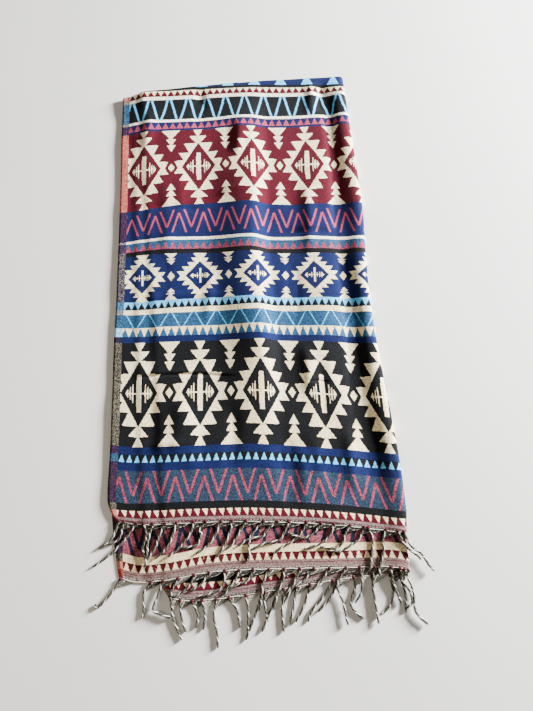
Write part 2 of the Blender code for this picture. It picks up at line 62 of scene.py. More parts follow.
def linear(code: str, shade: float = 1.0) -> Paint:
    """Turns a colour into scene-linear numbers.

    Args:
        code: The colour as six hex digits.
        shade: What its red, green and blue are multiplied by.

    Returns:
        Red, green, blue and 1.
    """
    parts = [int(code[k:k + 2], 16) / 255 for k in (0, 2, 4)]
    curved = [c / 12.92 if c <= 0.04045 else ((c + 0.055) / 1.055) ** 2.4 for c in parts]
    return (*(shade * c for c in curved), 1.0)


class Dye(Enum):
    """The dyed yarns, and the mixed tones of the selvedge."""

    MAROON = "4b0517"
    CREAM = "f6ecca"
    WHITE = "fbf7ec"
    NAVY = "091643"
    INDIGO = "141f38"
    LIGHT = "62bdf0"
    PINK = "983e54"
    TEAL = "264f72"
    STEEL = "26394e"
    BLACK = "08090b"
    CHARCOAL = "2a2624"
    MAUVE = "826c6a"
    ROSE = "6a3340"
    ROSEWOOD = "96525f"
    CORAL = "a83a34"
    PURPLE = "20162f"
    TAN = "2c2821"
    SLATE = "263e5a"

    @property
    def paint(self) -> Paint:
        """The dye in scene-linear numbers."""
        return linear(self.value)


class Figure(Enum):
    """What a woven band shows on its ground."""

    PLAIN = "plain"
    TRIANGLES = "triangles"
    CHEVRONS = "chevrons"
    STROKES = "strokes"
    LARGE_DIAMONDS = "large diamonds"
    SMALL_DIAMONDS = "small diamonds"


@dataclass(frozen=True)
class Band:
    """One woven band: where it starts from the hem, its dyes, and its figure's proportions.

    A triangle's width is its base's share of the pitch, and its reach the share of the band's
    height that it takes. A stroke's width and reach are shares of its pitch. The marks are the
    starts and ends of the two sets of chevrons down the band, or the slant of the strokes. The
    phase is how far the figures lie to the right of the diamonds' axis, in pitches.
    """

    start: float
    ground: Dye
    figure: Dye
    selvedge: Dye
    kind: Figure = Figure.PLAIN
    count: float = 0.0
    width: float = 0.0
    reach: float = 0.0
    marks: tuple[float, float, float, float] = (0.0, 0.0, 0.0, 0.0)
    flecks: float = 0.15
    back_ground: Dye | None = None
    back_figure: Dye | None = None
    phase: float = 0.0


BANDS = (
    Band(0.0000, Dye.MAUVE, Dye.MAUVE, Dye.CORAL, flecks=0.7),
    Band(0.0012, Dye.CHARCOAL, Dye.MAUVE, Dye.CORAL, flecks=0.5),
    Band(0.0022, Dye.MAUVE, Dye.MAUVE, Dye.CORAL, flecks=0.5),
    Band(0.0060, Dye.ROSE, Dye.ROSE, Dye.CORAL, flecks=0.5),
    Band(0.0069, Dye.MAUVE, Dye.MAUVE, Dye.CORAL, flecks=0.5),
    Band(0.0105, Dye.CREAM, Dye.MAROON, Dye.CORAL, Figure.TRIANGLES, 8.0, 1.06, 1.35),
    Band(0.0197, Dye.BLACK, Dye.CREAM, Dye.TAN),
    Band(0.0290, Dye.STEEL, Dye.PINK, Dye.PURPLE, Figure.CHEVRONS, 2.25, 0.042, 0.28,
         (0.0, 0.77, 0.2, 1.0), 0.6, Dye.INDIGO, Dye.ROSEWOOD, 0.40),
    Band(0.0711, Dye.NAVY, Dye.PINK, Dye.PURPLE),
    Band(0.0825, Dye.BLACK, Dye.LIGHT, Dye.SLATE, Figure.TRIANGLES, 8.0, 0.74, 1.0),
    Band(0.0932, Dye.NAVY, Dye.PINK, Dye.PURPLE),
    Band(0.1039, Dye.BLACK, Dye.CREAM, Dye.TAN, Figure.LARGE_DIAMONDS, 1.0),
    Band(0.2538, Dye.NAVY, Dye.MAROON, Dye.PURPLE),
    Band(0.2629, Dye.CREAM, Dye.TEAL, Dye.LIGHT, Figure.TRIANGLES, 7.6, 0.95, 1.0),
    Band(0.2764, Dye.TEAL, Dye.LIGHT, Dye.SLATE, Figure.STROKES, 2.55, 0.026, 0.0,
         (0.07, 0.43, 0.0, 0.0), 0.5, phase=0.27),
    Band(0.2976, Dye.CREAM, Dye.TEAL, Dye.SLATE),
    Band(0.3045, Dye.LIGHT, Dye.BLACK, Dye.SLATE, Figure.TRIANGLES, 8.7, 1.05, 0.85),
    Band(0.3174, Dye.NAVY, Dye.CREAM, Dye.PURPLE, Figure.SMALL_DIAMONDS, 1.0),
    Band(0.3902, Dye.BLACK, Dye.CREAM, Dye.PURPLE),
    Band(0.3976, Dye.TEAL, Dye.PINK, Dye.PURPLE, Figure.TRIANGLES, 7.5, 0.95, 0.8, flecks=0.5),
    Band(0.4132, Dye.WHITE, Dye.TEAL, Dye.PURPLE),
    Band(0.4184, Dye.NAVY, Dye.PINK, Dye.PURPLE, Figure.CHEVRONS, 2.333, 0.040, 0.285,
         (0.15, 0.71, 0.26, 0.86), phase=0.50),
    Band(0.4729, Dye.MAROON, Dye.CREAM, Dye.CORAL, Figure.LARGE_DIAMONDS, 1.0),
    Band(0.6075, Dye.NAVY, Dye.PINK, Dye.PURPLE),
    Band(0.6109, Dye.NAVY, Dye.PINK, Dye.PURPLE, Figure.TRIANGLES, 7.5, 0.95, 0.9),
    Band(0.6236, Dye.WHITE, Dye.NAVY, Dye.TAN),
    Band(0.6278, Dye.BLACK, Dye.LIGHT, Dye.SLATE, Figure.STROKES, 2.8, 0.054, 0.0,
         (0.08, 0.407, 0.0, 0.0), phase=0.30),
    Band(0.6631, Dye.WHITE, Dye.BLACK, Dye.TAN),
    Band(0.6689, Dye.CREAM, Dye.MAROON, Dye.CORAL, Figure.TRIANGLES, 8.0, 1.1, 1.05),
    Band(0.6781, Dye.BLACK, Dye.CREAM, Dye.TAN),
    Band(0.6832, Dye.NAVY, Dye.LIGHT, Dye.SLATE, Figure.TRIANGLES, 2.0, 0.45, 0.5, phase=0.17),
)


class Profile(NamedTuple):
    """A diamond motif at one height: its outer edge, its inner diamond, and the tree between."""

    height: float
    outer: float
    inner: float
    tree: float


class Mark(NamedTuple):
    """How tall the figure inside a diamond is, at one distance from the diamond's middle."""

    place: float
    height: float


@dataclass(frozen=True)
class Diamond:
    """A diamond motif, charted for one quarter; widths are shares of the pattern's repeat."""

    profiles: tuple[Profile, ...]
    marks: tuple[Mark, ...]


LARGE = Diamond(
    profiles=(
        Profile(0.000, 0.378, 0.308, 0.000), Profile(0.083, 0.445, 0.228, 0.000),
        Profile(0.086, 0.270, 0.225, 0.000), Profile(0.184, 0.356, 0.132, 0.000),
        Profile(0.187, 0.165, 0.129, 0.000), Profile(0.210, 0.188, 0.106, 0.000),
        Profile(0.299, 0.255, 0.020, 0.082), Profile(0.303, 0.258, 0.016, 0.014),
        Profile(0.310, 0.262, 0.008, 0.018), Profile(0.313, 0.026, 0.000, 0.024),
        Profile(0.378, 0.120, 0.000, 0.092), Profile(0.382, 0.124, 0.000, 0.018),
        Profile(0.408, 0.156, 0.000, 0.050), Profile(0.412, 0.014, 0.000, 0.053),
        Profile(0.500, 0.085, 0.000, 0.175),
    ),
    marks=(
        Mark(0.000, 0.180), Mark(0.038, 0.178), Mark(0.041, 0.007), Mark(0.096, 0.007),
        Mark(0.099, 0.090), Mark(0.111, 0.086), Mark(0.114, 0.007), Mark(0.136, 0.007),
        Mark(0.139, 0.062), Mark(0.151, 0.058), Mark(0.154, 0.007), Mark(0.176, 0.007),
        Mark(0.179, 0.045), Mark(0.222, 0.000), Mark(0.440, 0.000), Mark(0.500, 0.052),
    ),
)
SMALL = Diamond(
    profiles=(
        Profile(0.000, 0.335, 0.250, 0.000), Profile(0.095, 0.395, 0.178, 0.000),
        Profile(0.100, 0.255, 0.174, 0.000), Profile(0.198, 0.308, 0.100, 0.000),
        Profile(0.203, 0.168, 0.096, 0.000), Profile(0.255, 0.195, 0.056, 0.000),
        Profile(0.295, 0.218, 0.026, 0.033), Profile(0.300, 0.088, 0.022, 0.037),
        Profile(0.328, 0.108, 0.000, 0.062), Profile(0.333, 0.111, 0.000, 0.004),
        Profile(0.386, 0.142, 0.000, 0.084), Profile(0.391, 0.144, 0.000, 0.008),
        Profile(0.395, 0.146, 0.000, 0.013), Profile(0.400, 0.052, 0.000, 0.018),
        Profile(0.500, 0.112, 0.000, 0.104),
    ),
    marks=(
        Mark(0.000, 0.165), Mark(0.014, 0.160), Mark(0.016, 0.011), Mark(0.043, 0.011),
        Mark(0.045, 0.056), Mark(0.052, 0.054), Mark(0.054, 0.008), Mark(0.080, 0.008),
        Mark(0.082, 0.062), Mark(0.089, 0.058), Mark(0.091, 0.008), Mark(0.114, 0.008),
        Mark(0.116, 0.058), Mark(0.124, 0.050), Mark(0.128, 0.046), Mark(0.166, 0.000),
        Mark(0.438, 0.000), Mark(0.500, 0.100),
    ),
)


def operator(operation: str) -> Callable[..., "Wire"]:
    """Makes a method that adds a Math node.

    Args:
        operation: The Math node's operation.

    Returns:
        The method, for one of the operators of a wire.
    """
    def apply(self: "Wire", *others: "Number") -> "Wire":
        """Adds the node and gives its result."""
        return self.graph.math(operation, self, *others)

    return apply


@dataclass(frozen=True)
class Wire:
    """A value in a shader tree; arithmetic adds Math nodes, and < and > give 1 or 0."""

    graph: "Graph"
    socket: bpy.types.NodeSocket

    __add__ = operator("ADD")
    __sub__ = operator("SUBTRACT")
    __mul__ = operator("MULTIPLY")
    __truediv__ = operator("DIVIDE")
    __lt__ = operator("LESS_THAN")
    __gt__ = operator("GREATER_THAN")
    __abs__ = operator("ABSOLUTE")

    def __rsub__(self, other: float) -> "Wire":
        """Subtracts this value from a plain number."""
        return self.graph.math("SUBTRACT", other, self)


Number = Wire | float


class Graph:
    """Adds nodes to a shader tree and joins them, one value at a time."""

    SPACING = (180, -160)
    PER_ROW = 24
    MIX_INPUTS = (0, 6, 7)
    MIX_RESULT = 2

    def __init__(self, tree: bpy.types.NodeTree) -> None:
        """Keeps the tree that the nodes go in."""
        self.tree = tree
        self.count = 0

    def fill(self, node: bpy.types.Node, feeds: Mapping[int | str, object]) -> None:
        """Joins wires to a node's inputs, or sets plain numbers and colours on them.

        Args:
            node: The node.
            feeds: What goes into each input, by the input's number or name.
        """
        for key, value in feeds.items():
            if isinstance(value, Wire):
                self.tree.links.new(value.socket, node.inputs[key])
            else:
                node.inputs[key].default_value = value

    def node(self, kind: str, feeds: Mapping[int | str, object] | None = None,
             **settings: object) -> bpy.types.Node:
        """Adds a node.

        Args:
            kind: The node's type, without the words ShaderNode.
            feeds: What goes into its inputs, by number or name.
            settings: The node's own settings.

        Returns:
            The node.
        """
        made = self.tree.nodes.new("ShaderNode" + kind)
        row, column = divmod(self.count, self.PER_ROW)
        made.location = (self.SPACING[0] * column, self.SPACING[1] * row)
        self.count += 1
        for name, value in settings.items():
            setattr(made, name, value)
        self.fill(made, feeds or {})
        return made

    def out(self, node: bpy.types.Node, key: int | str = 0) -> Wire:
        """Gives one of a node's outputs."""
        return Wire(self, node.outputs[key])

    def math(self, operation: str, *values: Number, clamp: bool = False) -> Wire:
        """Adds one step of arithmetic.

        Args:
            operation: The Math node's operation.
            values: Wires or numbers, in order.
            clamp: Whether the result is kept from 0 to 1.

        Returns:
            The result.
        """
        feeds = dict(enumerate(values))
        return self.out(self.node("Math", feeds, operation=operation, use_clamp=clamp))

    def blend(self, share: Number, first: Wire | Paint, second: Wire | Paint,
              how: str = "MIX") -> Wire:
        """Mixes two colours.

        Args:
            share: How much of the second colour there is.
            first: The first colour.
            second: The second colour.
            how: The Mix node's blend type.

        Returns:
            The mixed colour.
        """
        feeds = dict(zip(self.MIX_INPUTS, (share, first, second)))
        made = self.node("Mix", feeds, data_type="RGBA", blend_type=how)
        return self.out(made, self.MIX_RESULT)

    def ramp(self, at: Wire, stops: Sequence[tuple[float, Paint]],
             smooth: bool) -> tuple[Wire, Wire]:
        """Adds a table of colours or numbers.

        Args:
            at: Where the table is read, from 0 to 1.
            stops: Places and their four numbers.
            smooth: Whether it runs straight from stop to stop, or in steps.

        Returns:
            Its first three numbers as a colour, and its fourth.
        """
        made = self.node("ValToRGB", {0: at})
        table = made.color_ramp
        table.interpolation = "LINEAR" if smooth else "CONSTANT"
        while len(table.elements) < len(stops):
            table.elements.new(1.0)
        for element, (place, numbers) in zip(table.elements, stops):
            element.position = place
            element.color = numbers
        return self.out(made), self.out(made, 1)

    def split(self, colour: Wire) -> list[Wire]:
        """Gives a colour's three numbers."""
        return [Wire(self, socket) for socket in self.node("SeparateColor", {0: colour}).outputs]

    def vector(self, *values: Number) -> Wire:
        """Makes a vector of up to three numbers."""
        return self.out(self.node("CombineXYZ", dict(enumerate(values))))

    def noise(self, place: Wire, scale: float, detail: float) -> Wire:
        """Adds soft noise of a scale per metre, from 0 to 1."""
        return self.out(self.node("TexNoise", {"Vector": place, "Scale": scale, "Detail": detail}))


def new_group(name: str, inputs: Mapping[str, str],
              outputs: Mapping[str, str]) -> tuple[Graph, bpy.types.Node, bpy.types.Node]:
    """Starts a shader node group.

    Args:
        name: The group's name.
        inputs: Its inputs' names, and the kind of socket of each.
        outputs: Its outputs, in the same way.

    Returns:
        Its graph, its input node and its output node.
    """
    tree = bpy.data.node_groups.new(name, "ShaderNodeTree")
    for way, sockets in (("INPUT", inputs), ("OUTPUT", outputs)):
        for title, kind in sockets.items():
            tree.interface.new_socket(title, in_out=way, socket_type="NodeSocket" + kind)
    return Graph(tree), tree.nodes.new("NodeGroupInput"), tree.nodes.new("NodeGroupOutput")


class Threads(NamedTuple):
    """A place on the flat cloth, and the place of the two threads that cross there."""

    place: Wire
    reverse: Wire
    raw_u: Wire
    raw_v: Wire
    u: Wire
    v: Wire
    run: Wire


class Weaving(NamedTuple):
    """What the band at a place is woven with."""

    ground: Wire
    figure: Wire
    edge: Wire
    start: Wire
    height: Wire
    count: Wire
    phase: Wire
    width: Wire
    reach: Wire
    flecks: Wire
    marks: list[Wire]
    kinds: dict[Figure, Wire]


@dataclass
class Jacquard:
    """The woven pattern as a node group, from the place on the flat cloth to colour and height.

    Lengths are in metres. A grain is the scale per metre and the detail of a noise, and a mix is
    the chance that a thread differs and by how much.
    """

    half_length: float = 0.7185
    width: float = 0.700
    repeat: float = 0.0864
    first_motif: float = 0.038
    selvedge: float = 0.012
    thread: float = 0.0009
    pick: float = 0.00095
    count_scale: float = 16.0
    drift: float = 0.0008
    drift_grain: Pair = (260.0, 1.0)
    least: float = 0.01
    back_shorter: float = 0.2
    back_narrower: float = 0.32
    back_thicker: float = 0.02
    stray_mix: Pair = (0.012, 0.6)
    reverse_tint: Paint = (0.92, 0.86, 0.80, 1.0)
    edge_figure: Pair = (0.1, 0.4)
    edge_mix: Pair = (0.42, 0.36)
    # painted shade: a warm tan multiplied into the pale yarn, in soft random patches and stronger
    # towards the hems
    unshaded: Paint = (1.0, 1.0, 1.0, 1.0)
    painted_shade: Paint = (0.97, 0.84, 0.65, 1.0)
    painted_shade_grain: Pair = (17.0, 3.0)
    painted_shade_range: Pair = (0.40, 0.66)
    painted_shade_share: float = 0.55
    painted_shade_at_hems: Pair = (0.9, 1.1)
    undyed_from: float = 0.26
    undyed_gain: float = 4.0
    peeping: Paint = (0.24, 0.25, 0.31, 1.0)
    peeping_grain: Pair = (560.0, 2.0)
    peeping_from: float = 0.52
    peeping_gain: float = 6.0
    peeping_share: float = 0.035
    dark_threads: float = 0.45
    shade: float = 0.78
    patch_grain: Pair = (45.0, 3.0)
    patch_share: float = 0.22
    thread_share: float = 0.28
    uneven_grain: Pair = (380.0, 3.0)
    uneven_share: float = 1.7
    fuzz_grain: Pair = (1400.0, 2.0)
    relief: Triple = (0.5, 0.6, 0.25)

    def threads(self, graph: Graph, place: Wire, reverse: Wire) -> Threads:
        """Finds the threads that cross at a place.

        Args:
            graph: The group's graph.
            place: The place on the flat cloth.
            reverse: 1 on the reverse of the cloth.

        Returns:
            The threads, and their run from the nearer end of the cloth.
        """
        parts = graph.node("SeparateXYZ", {0: place})
        drift = (graph.noise(place, *self.drift_grain) - 0.5) * self.drift
        raw_u, raw_v = graph.out(parts, 0) + drift, graph.out(parts, 1) - drift
        u = graph.math("SNAP", raw_u, self.thread) + self.thread / 2
        v = graph.math("SNAP", raw_v, self.pick) + self.pick / 2
        run = self.half_length - abs(v - self.half_length)
        return Threads(place, reverse, raw_u, raw_v, u, v, run)

    def table(self, graph: Graph, row: Wire, read: Callable[[Band], Paint]) -> tuple[Wire, Wire]:
        """Adds a stepped table with one row for each band.

        Args:
            graph: The group's graph.
            row: The band's place in the list, from 0 to 1.
            read: What a row holds.

        Returns:
            The first three numbers as a colour, and the fourth.
        """
        rows = [(k / len(BANDS), read(band)) for k, band in enumerate(BANDS)]
        return graph.ramp(row, rows, smooth=False)

    def numbers(self, graph: Graph, row: Wire, read: Callable[[Band], Paint]) -> list[Wire]:
        """Adds such a table, and gives its four numbers one by one."""
        colour, fourth = self.table(graph, row, read)
        return [*graph.split(colour), fourth]

    def weaving(self, graph: Graph, at: Threads) -> Weaving:
        """Looks up the band at a place.

        Args:
            graph: The group's graph.
            at: The threads there.

        Returns:
            What the band is woven with, on the side that is seen.
        """
        index = at.run > BANDS[1].start
        for band in BANDS[2:]:
            index = index + (at.run > band.start)
        row = (index + 0.5) / float(len(BANDS))
        ends = dict(zip(BANDS, [band.start for band in BANDS[1:]] + [self.half_length]))

        def dyed(front: Callable[[Band], Dye], back: Callable[[Band], Dye | None]) -> Wire:
            """Picks one dye of the band.

            Args:
                front: Reads the dye of the face.
                back: Reads the dye of the reverse, if it is another.

            Returns:
                The dye's colour on the side that is seen.
            """
            faced = self.table(graph, row, lambda b: front(b).paint)[0]
            turned = self.table(graph, row, lambda b: (back(b) or front(b)).paint)[0]
            return graph.blend(at.reverse, faced, turned)

        ground = dyed(lambda b: b.ground, lambda b: b.back_ground)
        figure = dyed(lambda b: b.figure, lambda b: b.back_figure)
        edge = self.table(graph, row, lambda b: b.selvedge.paint)[0]
        start, height, count, phase = self.numbers(graph, row, lambda b: (
            b.start, ends[b] - b.start, b.count / self.count_scale, b.phase))
        width, half_reach, flecks, _ = self.numbers(graph, row, lambda b: (
            b.width, b.reach / 2, b.flecks, 1.0))
        marks = self.numbers(graph, row, lambda b: b.marks)
        *four, last = list(Figure)[1:]
        flags = self.numbers(graph, row, lambda b: tuple(float(b.kind is kind) for kind in four))
        small = self.numbers(graph, row, lambda b: (float(b.kind is last),) * 3 + (1.0,))[0]
        return Weaving(ground, figure, edge, start, height, count * self.count_scale, phase,
                       width, half_reach * 2.0, flecks, marks,
                       {**dict(zip(four, flags)), last: small})

    def motif(self, graph: Graph, chart: Diamond, across: Wire, middle: Wire) -> Wire:
        """Draws a diamond motif.

        Args:
            graph: The group's graph.
            chart: The motif's quarter.
            across: Distance from the motif's axis, in repeats.
            middle: Distance from the band's middle, in band heights.

        Returns:
            A mask of the motif.
        """
        profiles = [(row.height * 2, (row.outer, row.inner, row.tree, 1.0))
                    for row in chart.profiles]
        outer, inner, tree = graph.split(graph.ramp(middle * 2.0, profiles, smooth=True)[0])
        marks = [(row.place * 2, (row.height,) * 3 + (1.0,)) for row in chart.marks]
        tall = graph.split(graph.ramp(across * 2.0, marks, smooth=True)[0])[0]
        outline = (across < outer) * (across > inner)
        inside = graph.math("MAXIMUM", outline, middle < tall)
        return graph.math("MAXIMUM", inside, (0.5 - across) < tree)

    def mask(self, graph: Graph, at: Threads, band: Weaving) -> Wire:
        """Draws the band's figure.

        Args:
            graph: The group's graph.
            at: The threads at the place.
            band: What the band is woven with.

        Returns:
            How much of the figure's dye shows, from 0 to 1.
        """
        up = (at.run - band.start) / band.height
        down = 1.0 - up
        repeats = (at.u - self.first_motif) / self.repeat
        in_pitch = graph.math("PINGPONG", repeats * band.count - band.phase, 0.5)
        across = graph.math("PINGPONG", repeats, 0.5)
        middle = abs(up - 0.5)
        shorter = 1.0 - at.reverse * self.back_shorter
        tip = graph.math("MAXIMUM", band.reach * shorter, self.least)
        base = band.width - at.reverse * self.back_narrower
        thick = band.width + at.reverse * self.back_thicker
        low_a, high_a, low_b, high_b = band.marks

        def stroke(place: Wire, centre: Wire) -> Wire:
            """Draws a slanting stroke round its centre line."""
            return abs(place - centre) < thick

        def limb(place: Wire, low: Wire, high: Wire, rising: bool) -> Wire:
            """Draws one set of chevrons.

            Args:
                place: Place across the pitch.
                low: Where the set starts down the band.
                high: Where it ends.
                rising: Whether it opens downward.

            Returns:
                A mask of the set.
            """
            along = (down - low) / graph.math("MAXIMUM", high - low, self.least)
            inside = (down > low) * (down < high)
            return inside * stroke(place, band.reach * (along if rising else 1.0 - along))

        drawn = {
            Figure.TRIANGLES: in_pitch * 2.0 < base * (1.0 - up / tip),
            Figure.CHEVRONS: graph.math("MAXIMUM", limb(0.5 - in_pitch, low_a, high_a, False),
                                        limb(in_pitch, low_b, high_b, True)),
            Figure.STROKES: stroke(in_pitch, low_a + down * (high_a - low_a)),
            Figure.LARGE_DIAMONDS: self.motif(graph, LARGE, across, middle),
            Figure.SMALL_DIAMONDS: self.motif(graph, SMALL, across, middle),
        }
        first, *others = [shape * band.kinds[kind] for kind, shape in drawn.items()]
        for other in others:
            first = first + other
        return abs(first - at.reverse)

    def tan_shading(self, graph: Graph, at: Threads, cloth: Wire) -> Wire:
        """Paints warm tan shade on the pale yarn and lets the hidden weave peep through.

        Args:
            graph: The group's graph.
            at: The threads at the place.
            cloth: The cloth's colour.

        Returns:
            Its colour with the painted shade and the peeping weave.
        """
        # painted shade: soft random patches of warm tan on the pale yarn, stronger towards the hems
        tan_shading = graph.node("MapRange", {"Value": graph.noise(at.place, *self.painted_shade_grain),
                                       "From Min": self.painted_shade_range[0],
                                       "From Max": self.painted_shade_range[1]})
        shade_near_hems = graph.math("SUBTRACT", self.painted_shade_at_hems[0], at.run * self.painted_shade_at_hems[1], clamp=True)
        painted_shade = graph.math("ADD", graph.out(tan_shading) * self.painted_shade_share, shade_near_hems * self.painted_shade_share,
                          clamp=True)
        red, green, blue = graph.split(cloth)
        palest = graph.math("MINIMUM", graph.math("MINIMUM", red, green), blue)
        undyed = graph.math("MULTIPLY", palest - self.undyed_from, self.undyed_gain, clamp=True)
        shade_tint = graph.blend(painted_shade * undyed, self.unshaded, self.painted_shade)
        cloth = graph.blend(1.0, cloth, shade_tint, "MULTIPLY")
        peeping = graph.noise(at.place, *self.peeping_grain) - self.peeping_from
        peeping = graph.math("MULTIPLY", peeping, self.peeping_gain, clamp=True)
        return graph.blend(peeping * self.peeping_share, cloth, self.peeping)

    def build(self) -> bpy.types.NodeTree:
        """Makes the group.

        Returns:
            The node group, with a Place and a Reverse input.
        """
        graph, given, result = new_group("jacquard weave", {"Place": "Vector", "Reverse": "Float"},
                                         {"Colour": "Color", "Height": "Float"})
        at = self.threads(graph, graph.out(given, "Place"), graph.out(given, "Reverse"))
        band = self.weaving(graph, at)
        cell = graph.vector(at.u / self.thread, at.v / self.pick, 0.0)
        dots = graph.node("TexWhiteNoise", {"Vector": cell}, noise_dimensions="2D")
        chance, choice, spare = graph.split(graph.out(dots, "Color"))
        stray = (chance < at.reverse * self.stray_mix[0]) * self.stray_mix[1]
        shown = abs(self.mask(graph, at, band) - stray)

        cloth = graph.blend(shown, band.ground, band.figure)
        tinted = graph.blend(1.0, cloth, self.reverse_tint, "MULTIPLY")
        cloth = graph.blend(at.reverse, cloth, tinted)
        either = (choice > 0.5) * self.edge_figure[1] + self.edge_figure[0]
        mixed = graph.blend(either, band.ground, band.figure)
        yarn = (chance > self.edge_mix[0]) * self.edge_mix[1]
        speckled = graph.blend(yarn, band.edge, mixed)
        inner = (at.u > self.selvedge) * (at.u < self.width - self.selvedge)
        # paints tan shade on the pale yarn, then lets the hidden weave peep through
        cloth = self.tan_shading(graph, at, graph.blend(inner, speckled, cloth))

        dark = band.flecks * (choice < self.dark_threads)
        shade = graph.noise(at.place, *self.patch_grain) * self.patch_share + self.shade
        shade = shade + spare * self.thread_share
        shade = shade + (graph.noise(at.place, *self.uneven_grain) - 0.5) * self.uneven_share
        shade = shade * (1.0 - dark)
        rib_u = graph.math("SINE", at.raw_u * (math.pi / self.thread))
        rib_v = graph.math("SINE", at.raw_v * (math.pi / self.pick))
        fuzz = graph.noise(at.place, *self.fuzz_grain)
        weave, hair, step = self.relief
        graph.fill(result, {
            "Colour": graph.blend(1.0, cloth, graph.vector(shade, shade, shade), "MULTIPLY"),
            "Height": rib_u * rib_v * weave + fuzz * hair + shown * step})
        return graph.tree


@dataclass(frozen=True, kw_only=True)
class Finish:
    """A material of the shawl: a node group's pattern over the cloth's own places."""

    name: str
    roughness: float
    specular: float
    sheen: float
    strength: float
    relief: float

    def inputs(self) -> dict[str, float]:
        """Gives the inputs of the group besides the place."""
        return {}

    def colour(self, graph: Graph, pattern: bpy.types.Node) -> Wire:
        """Gives the colour that the group draws."""
        return graph.out(pattern, "Colour")

    def make(self, group: bpy.types.NodeTree) -> bpy.types.Material:
        """Makes the material.

        Args:
            group: The group that draws the pattern.

        Returns:
            The material.
        """
        made = bpy.data.materials.new(self.name)
        made.use_nodes = True
        graph = Graph(made.node_tree)
        where = graph.out(graph.node("UVMap", uv_map=CLOTH_MAP))
        pattern = graph.node("Group", {"Place": where, **self.inputs()}, node_tree=group)
        bump = graph.node("Bump", {"Strength": self.strength, "Distance": self.relief,
                                   "Height": graph.out(pattern, "Height")})
        graph.fill(made.node_tree.nodes["Principled BSDF"], {
            "Base Color": self.colour(graph, pattern), "Normal": graph.out(bump),
            "Roughness": self.roughness, "Specular IOR Level": self.specular,
            "Sheen Weight": self.sheen})
        return made


@dataclass(frozen=True, kw_only=True)
class WovenFinish(Finish):
    """One side of the double weave."""

    reverse: float
    roughness: float = 0.92
    specular: float = 0.12
    sheen: float = 0.02
    strength: float = 0.8
    relief: float = 0.00030

    def inputs(self) -> dict[str, float]:
        """Says which side it is."""
        return {"Reverse": self.reverse}


@dataclass(frozen=True, kw_only=True)
class YarnFinish(Finish):
    """A spun yarn between two tones."""

    dark: str
    light: str
    roughness: float = 0.85
    specular: float = 0.15
    sheen: float = 0.04
    strength: float = 0.9
    relief: float = 0.00018

    def colour(self, graph: Graph, pattern: bpy.types.Node) -> Wire:
        """Gives the tone of the fibres."""
        return graph.blend(graph.out(pattern, "Shade"), linear(self.dark), linear(self.light))


@dataclass
class YarnTwist:
    """Fine fibres wound round a yarn, as a node group on the yarn's own UV map."""

    turns: float = 3.0
    lay: float = 0.0035
    rough_grain: Pair = (9.0, 3.0)
    fibre_share: float = 0.22

    def build(self) -> bpy.types.NodeTree:
        """Makes the group that gives the shade and the height of the fibres.

        Returns:
            The node group.
        """
        graph, given, result = new_group("yarn twist", {"Place": "Vector"},
                                         {"Shade": "Float", "Height": "Float"})
        parts = graph.node("SeparateXYZ", {0: graph.out(given, "Place")})
        far = graph.out(parts, 1)
        wound = graph.out(parts, 0) * self.turns + far / self.lay
        fibre = graph.math("SINE", wound * (2 * math.pi))
        rough = graph.noise(graph.vector(wound, far, 0.0), *self.rough_grain)
        shade = graph.math("ADD", fibre * self.fibre_share, rough, clamp=True)
        graph.fill(result, {"Shade": shade, "Height": fibre + rough})
        return graph.tree


@dataclass(frozen=True)
class FloorFinish:
    """A plain pale floor with a very faint mottle."""

    name: str = "pale floor"
    colour: str = "dcdad6"
    mottle_grain: Pair = (6.0, 4.0)
    mottle_shade: float = 0.95
    roughness: float = 0.8

    def make(self) -> bpy.types.Material:
        """Makes the material.

        Returns:
            The material.
        """
        made = bpy.data.materials.new(self.name)
        made.use_nodes = True
        graph = Graph(made.node_tree)
        mottle = graph.noise(graph.out(graph.node("TexCoord"), "Object"), *self.mottle_grain)
        colour = graph.blend(mottle, linear(self.colour), linear(self.colour, self.mottle_shade))
        graph.fill(made.node_tree.nodes["Principled BSDF"],
                   {"Base Color": colour, "Roughness": self.roughness})
        return made


def curve(knots: object, values: object, at: object) -> Array:
    """Smooth curves through values, whose slope at a knot follows the knots beside it.

    Args:
        knots: The knots, the same for each place or one set for each.
        values: The values at the knots, in the same way.
        at: The places.

    Returns:
        The value at each place.
    """
    at = np.asarray(at, float)
    flat = (-1,) + (1,) * at.ndim
    knots, values = np.asarray(knots, float), np.asarray(values, float)
    knots = knots.reshape(flat) + np.zeros(at.shape) if knots.ndim == 1 else knots
    values = values.reshape(flat) + np.zeros(at.shape) if values.ndim == 1 else values
    last = len(knots) - 1
    at = np.clip(at, knots[0], knots[last])
    low = np.clip((knots <= at).sum(0) - 1, 0, last - 1)

    def pick(table: Array, k: Array) -> Array:
        """Reads the table at each place's own row."""
        return np.take_along_axis(table, np.asarray(k)[None], 0)[0]

    def between(table: Array, k: Array, m: Array) -> Array:
        """How much the table grows from one row to another."""
        return pick(table, m) - pick(table, k)

    def slope(k: Array) -> Array:
        """Slope at a knot."""
        before, after = np.maximum(k - 1, 0), np.minimum(k + 1, last)
        return between(values, before, after) / between(knots, before, after)

    wide = between(knots, low, low + 1)
    s = (at - pick(knots, low)) / wide
    start = (1 + 2 * s) * (1 - s) ** 2 * pick(values, low) + s * (1 - s) ** 2 * wide * slope(low)
    end = s * s * (3 - 2 * s) * pick(values, low + 1) + s * s * (s - 1) * wide * slope(low + 1)
    return start + end


def ease(low: object, high: object, at: object) -> Array:
    """Rises smoothly from 0 at low to 1 at high."""
    s = np.clip((np.asarray(at) - low) / (np.asarray(high) - low), 0.0, 1.0)
    return s * s * (3 - 2 * s)


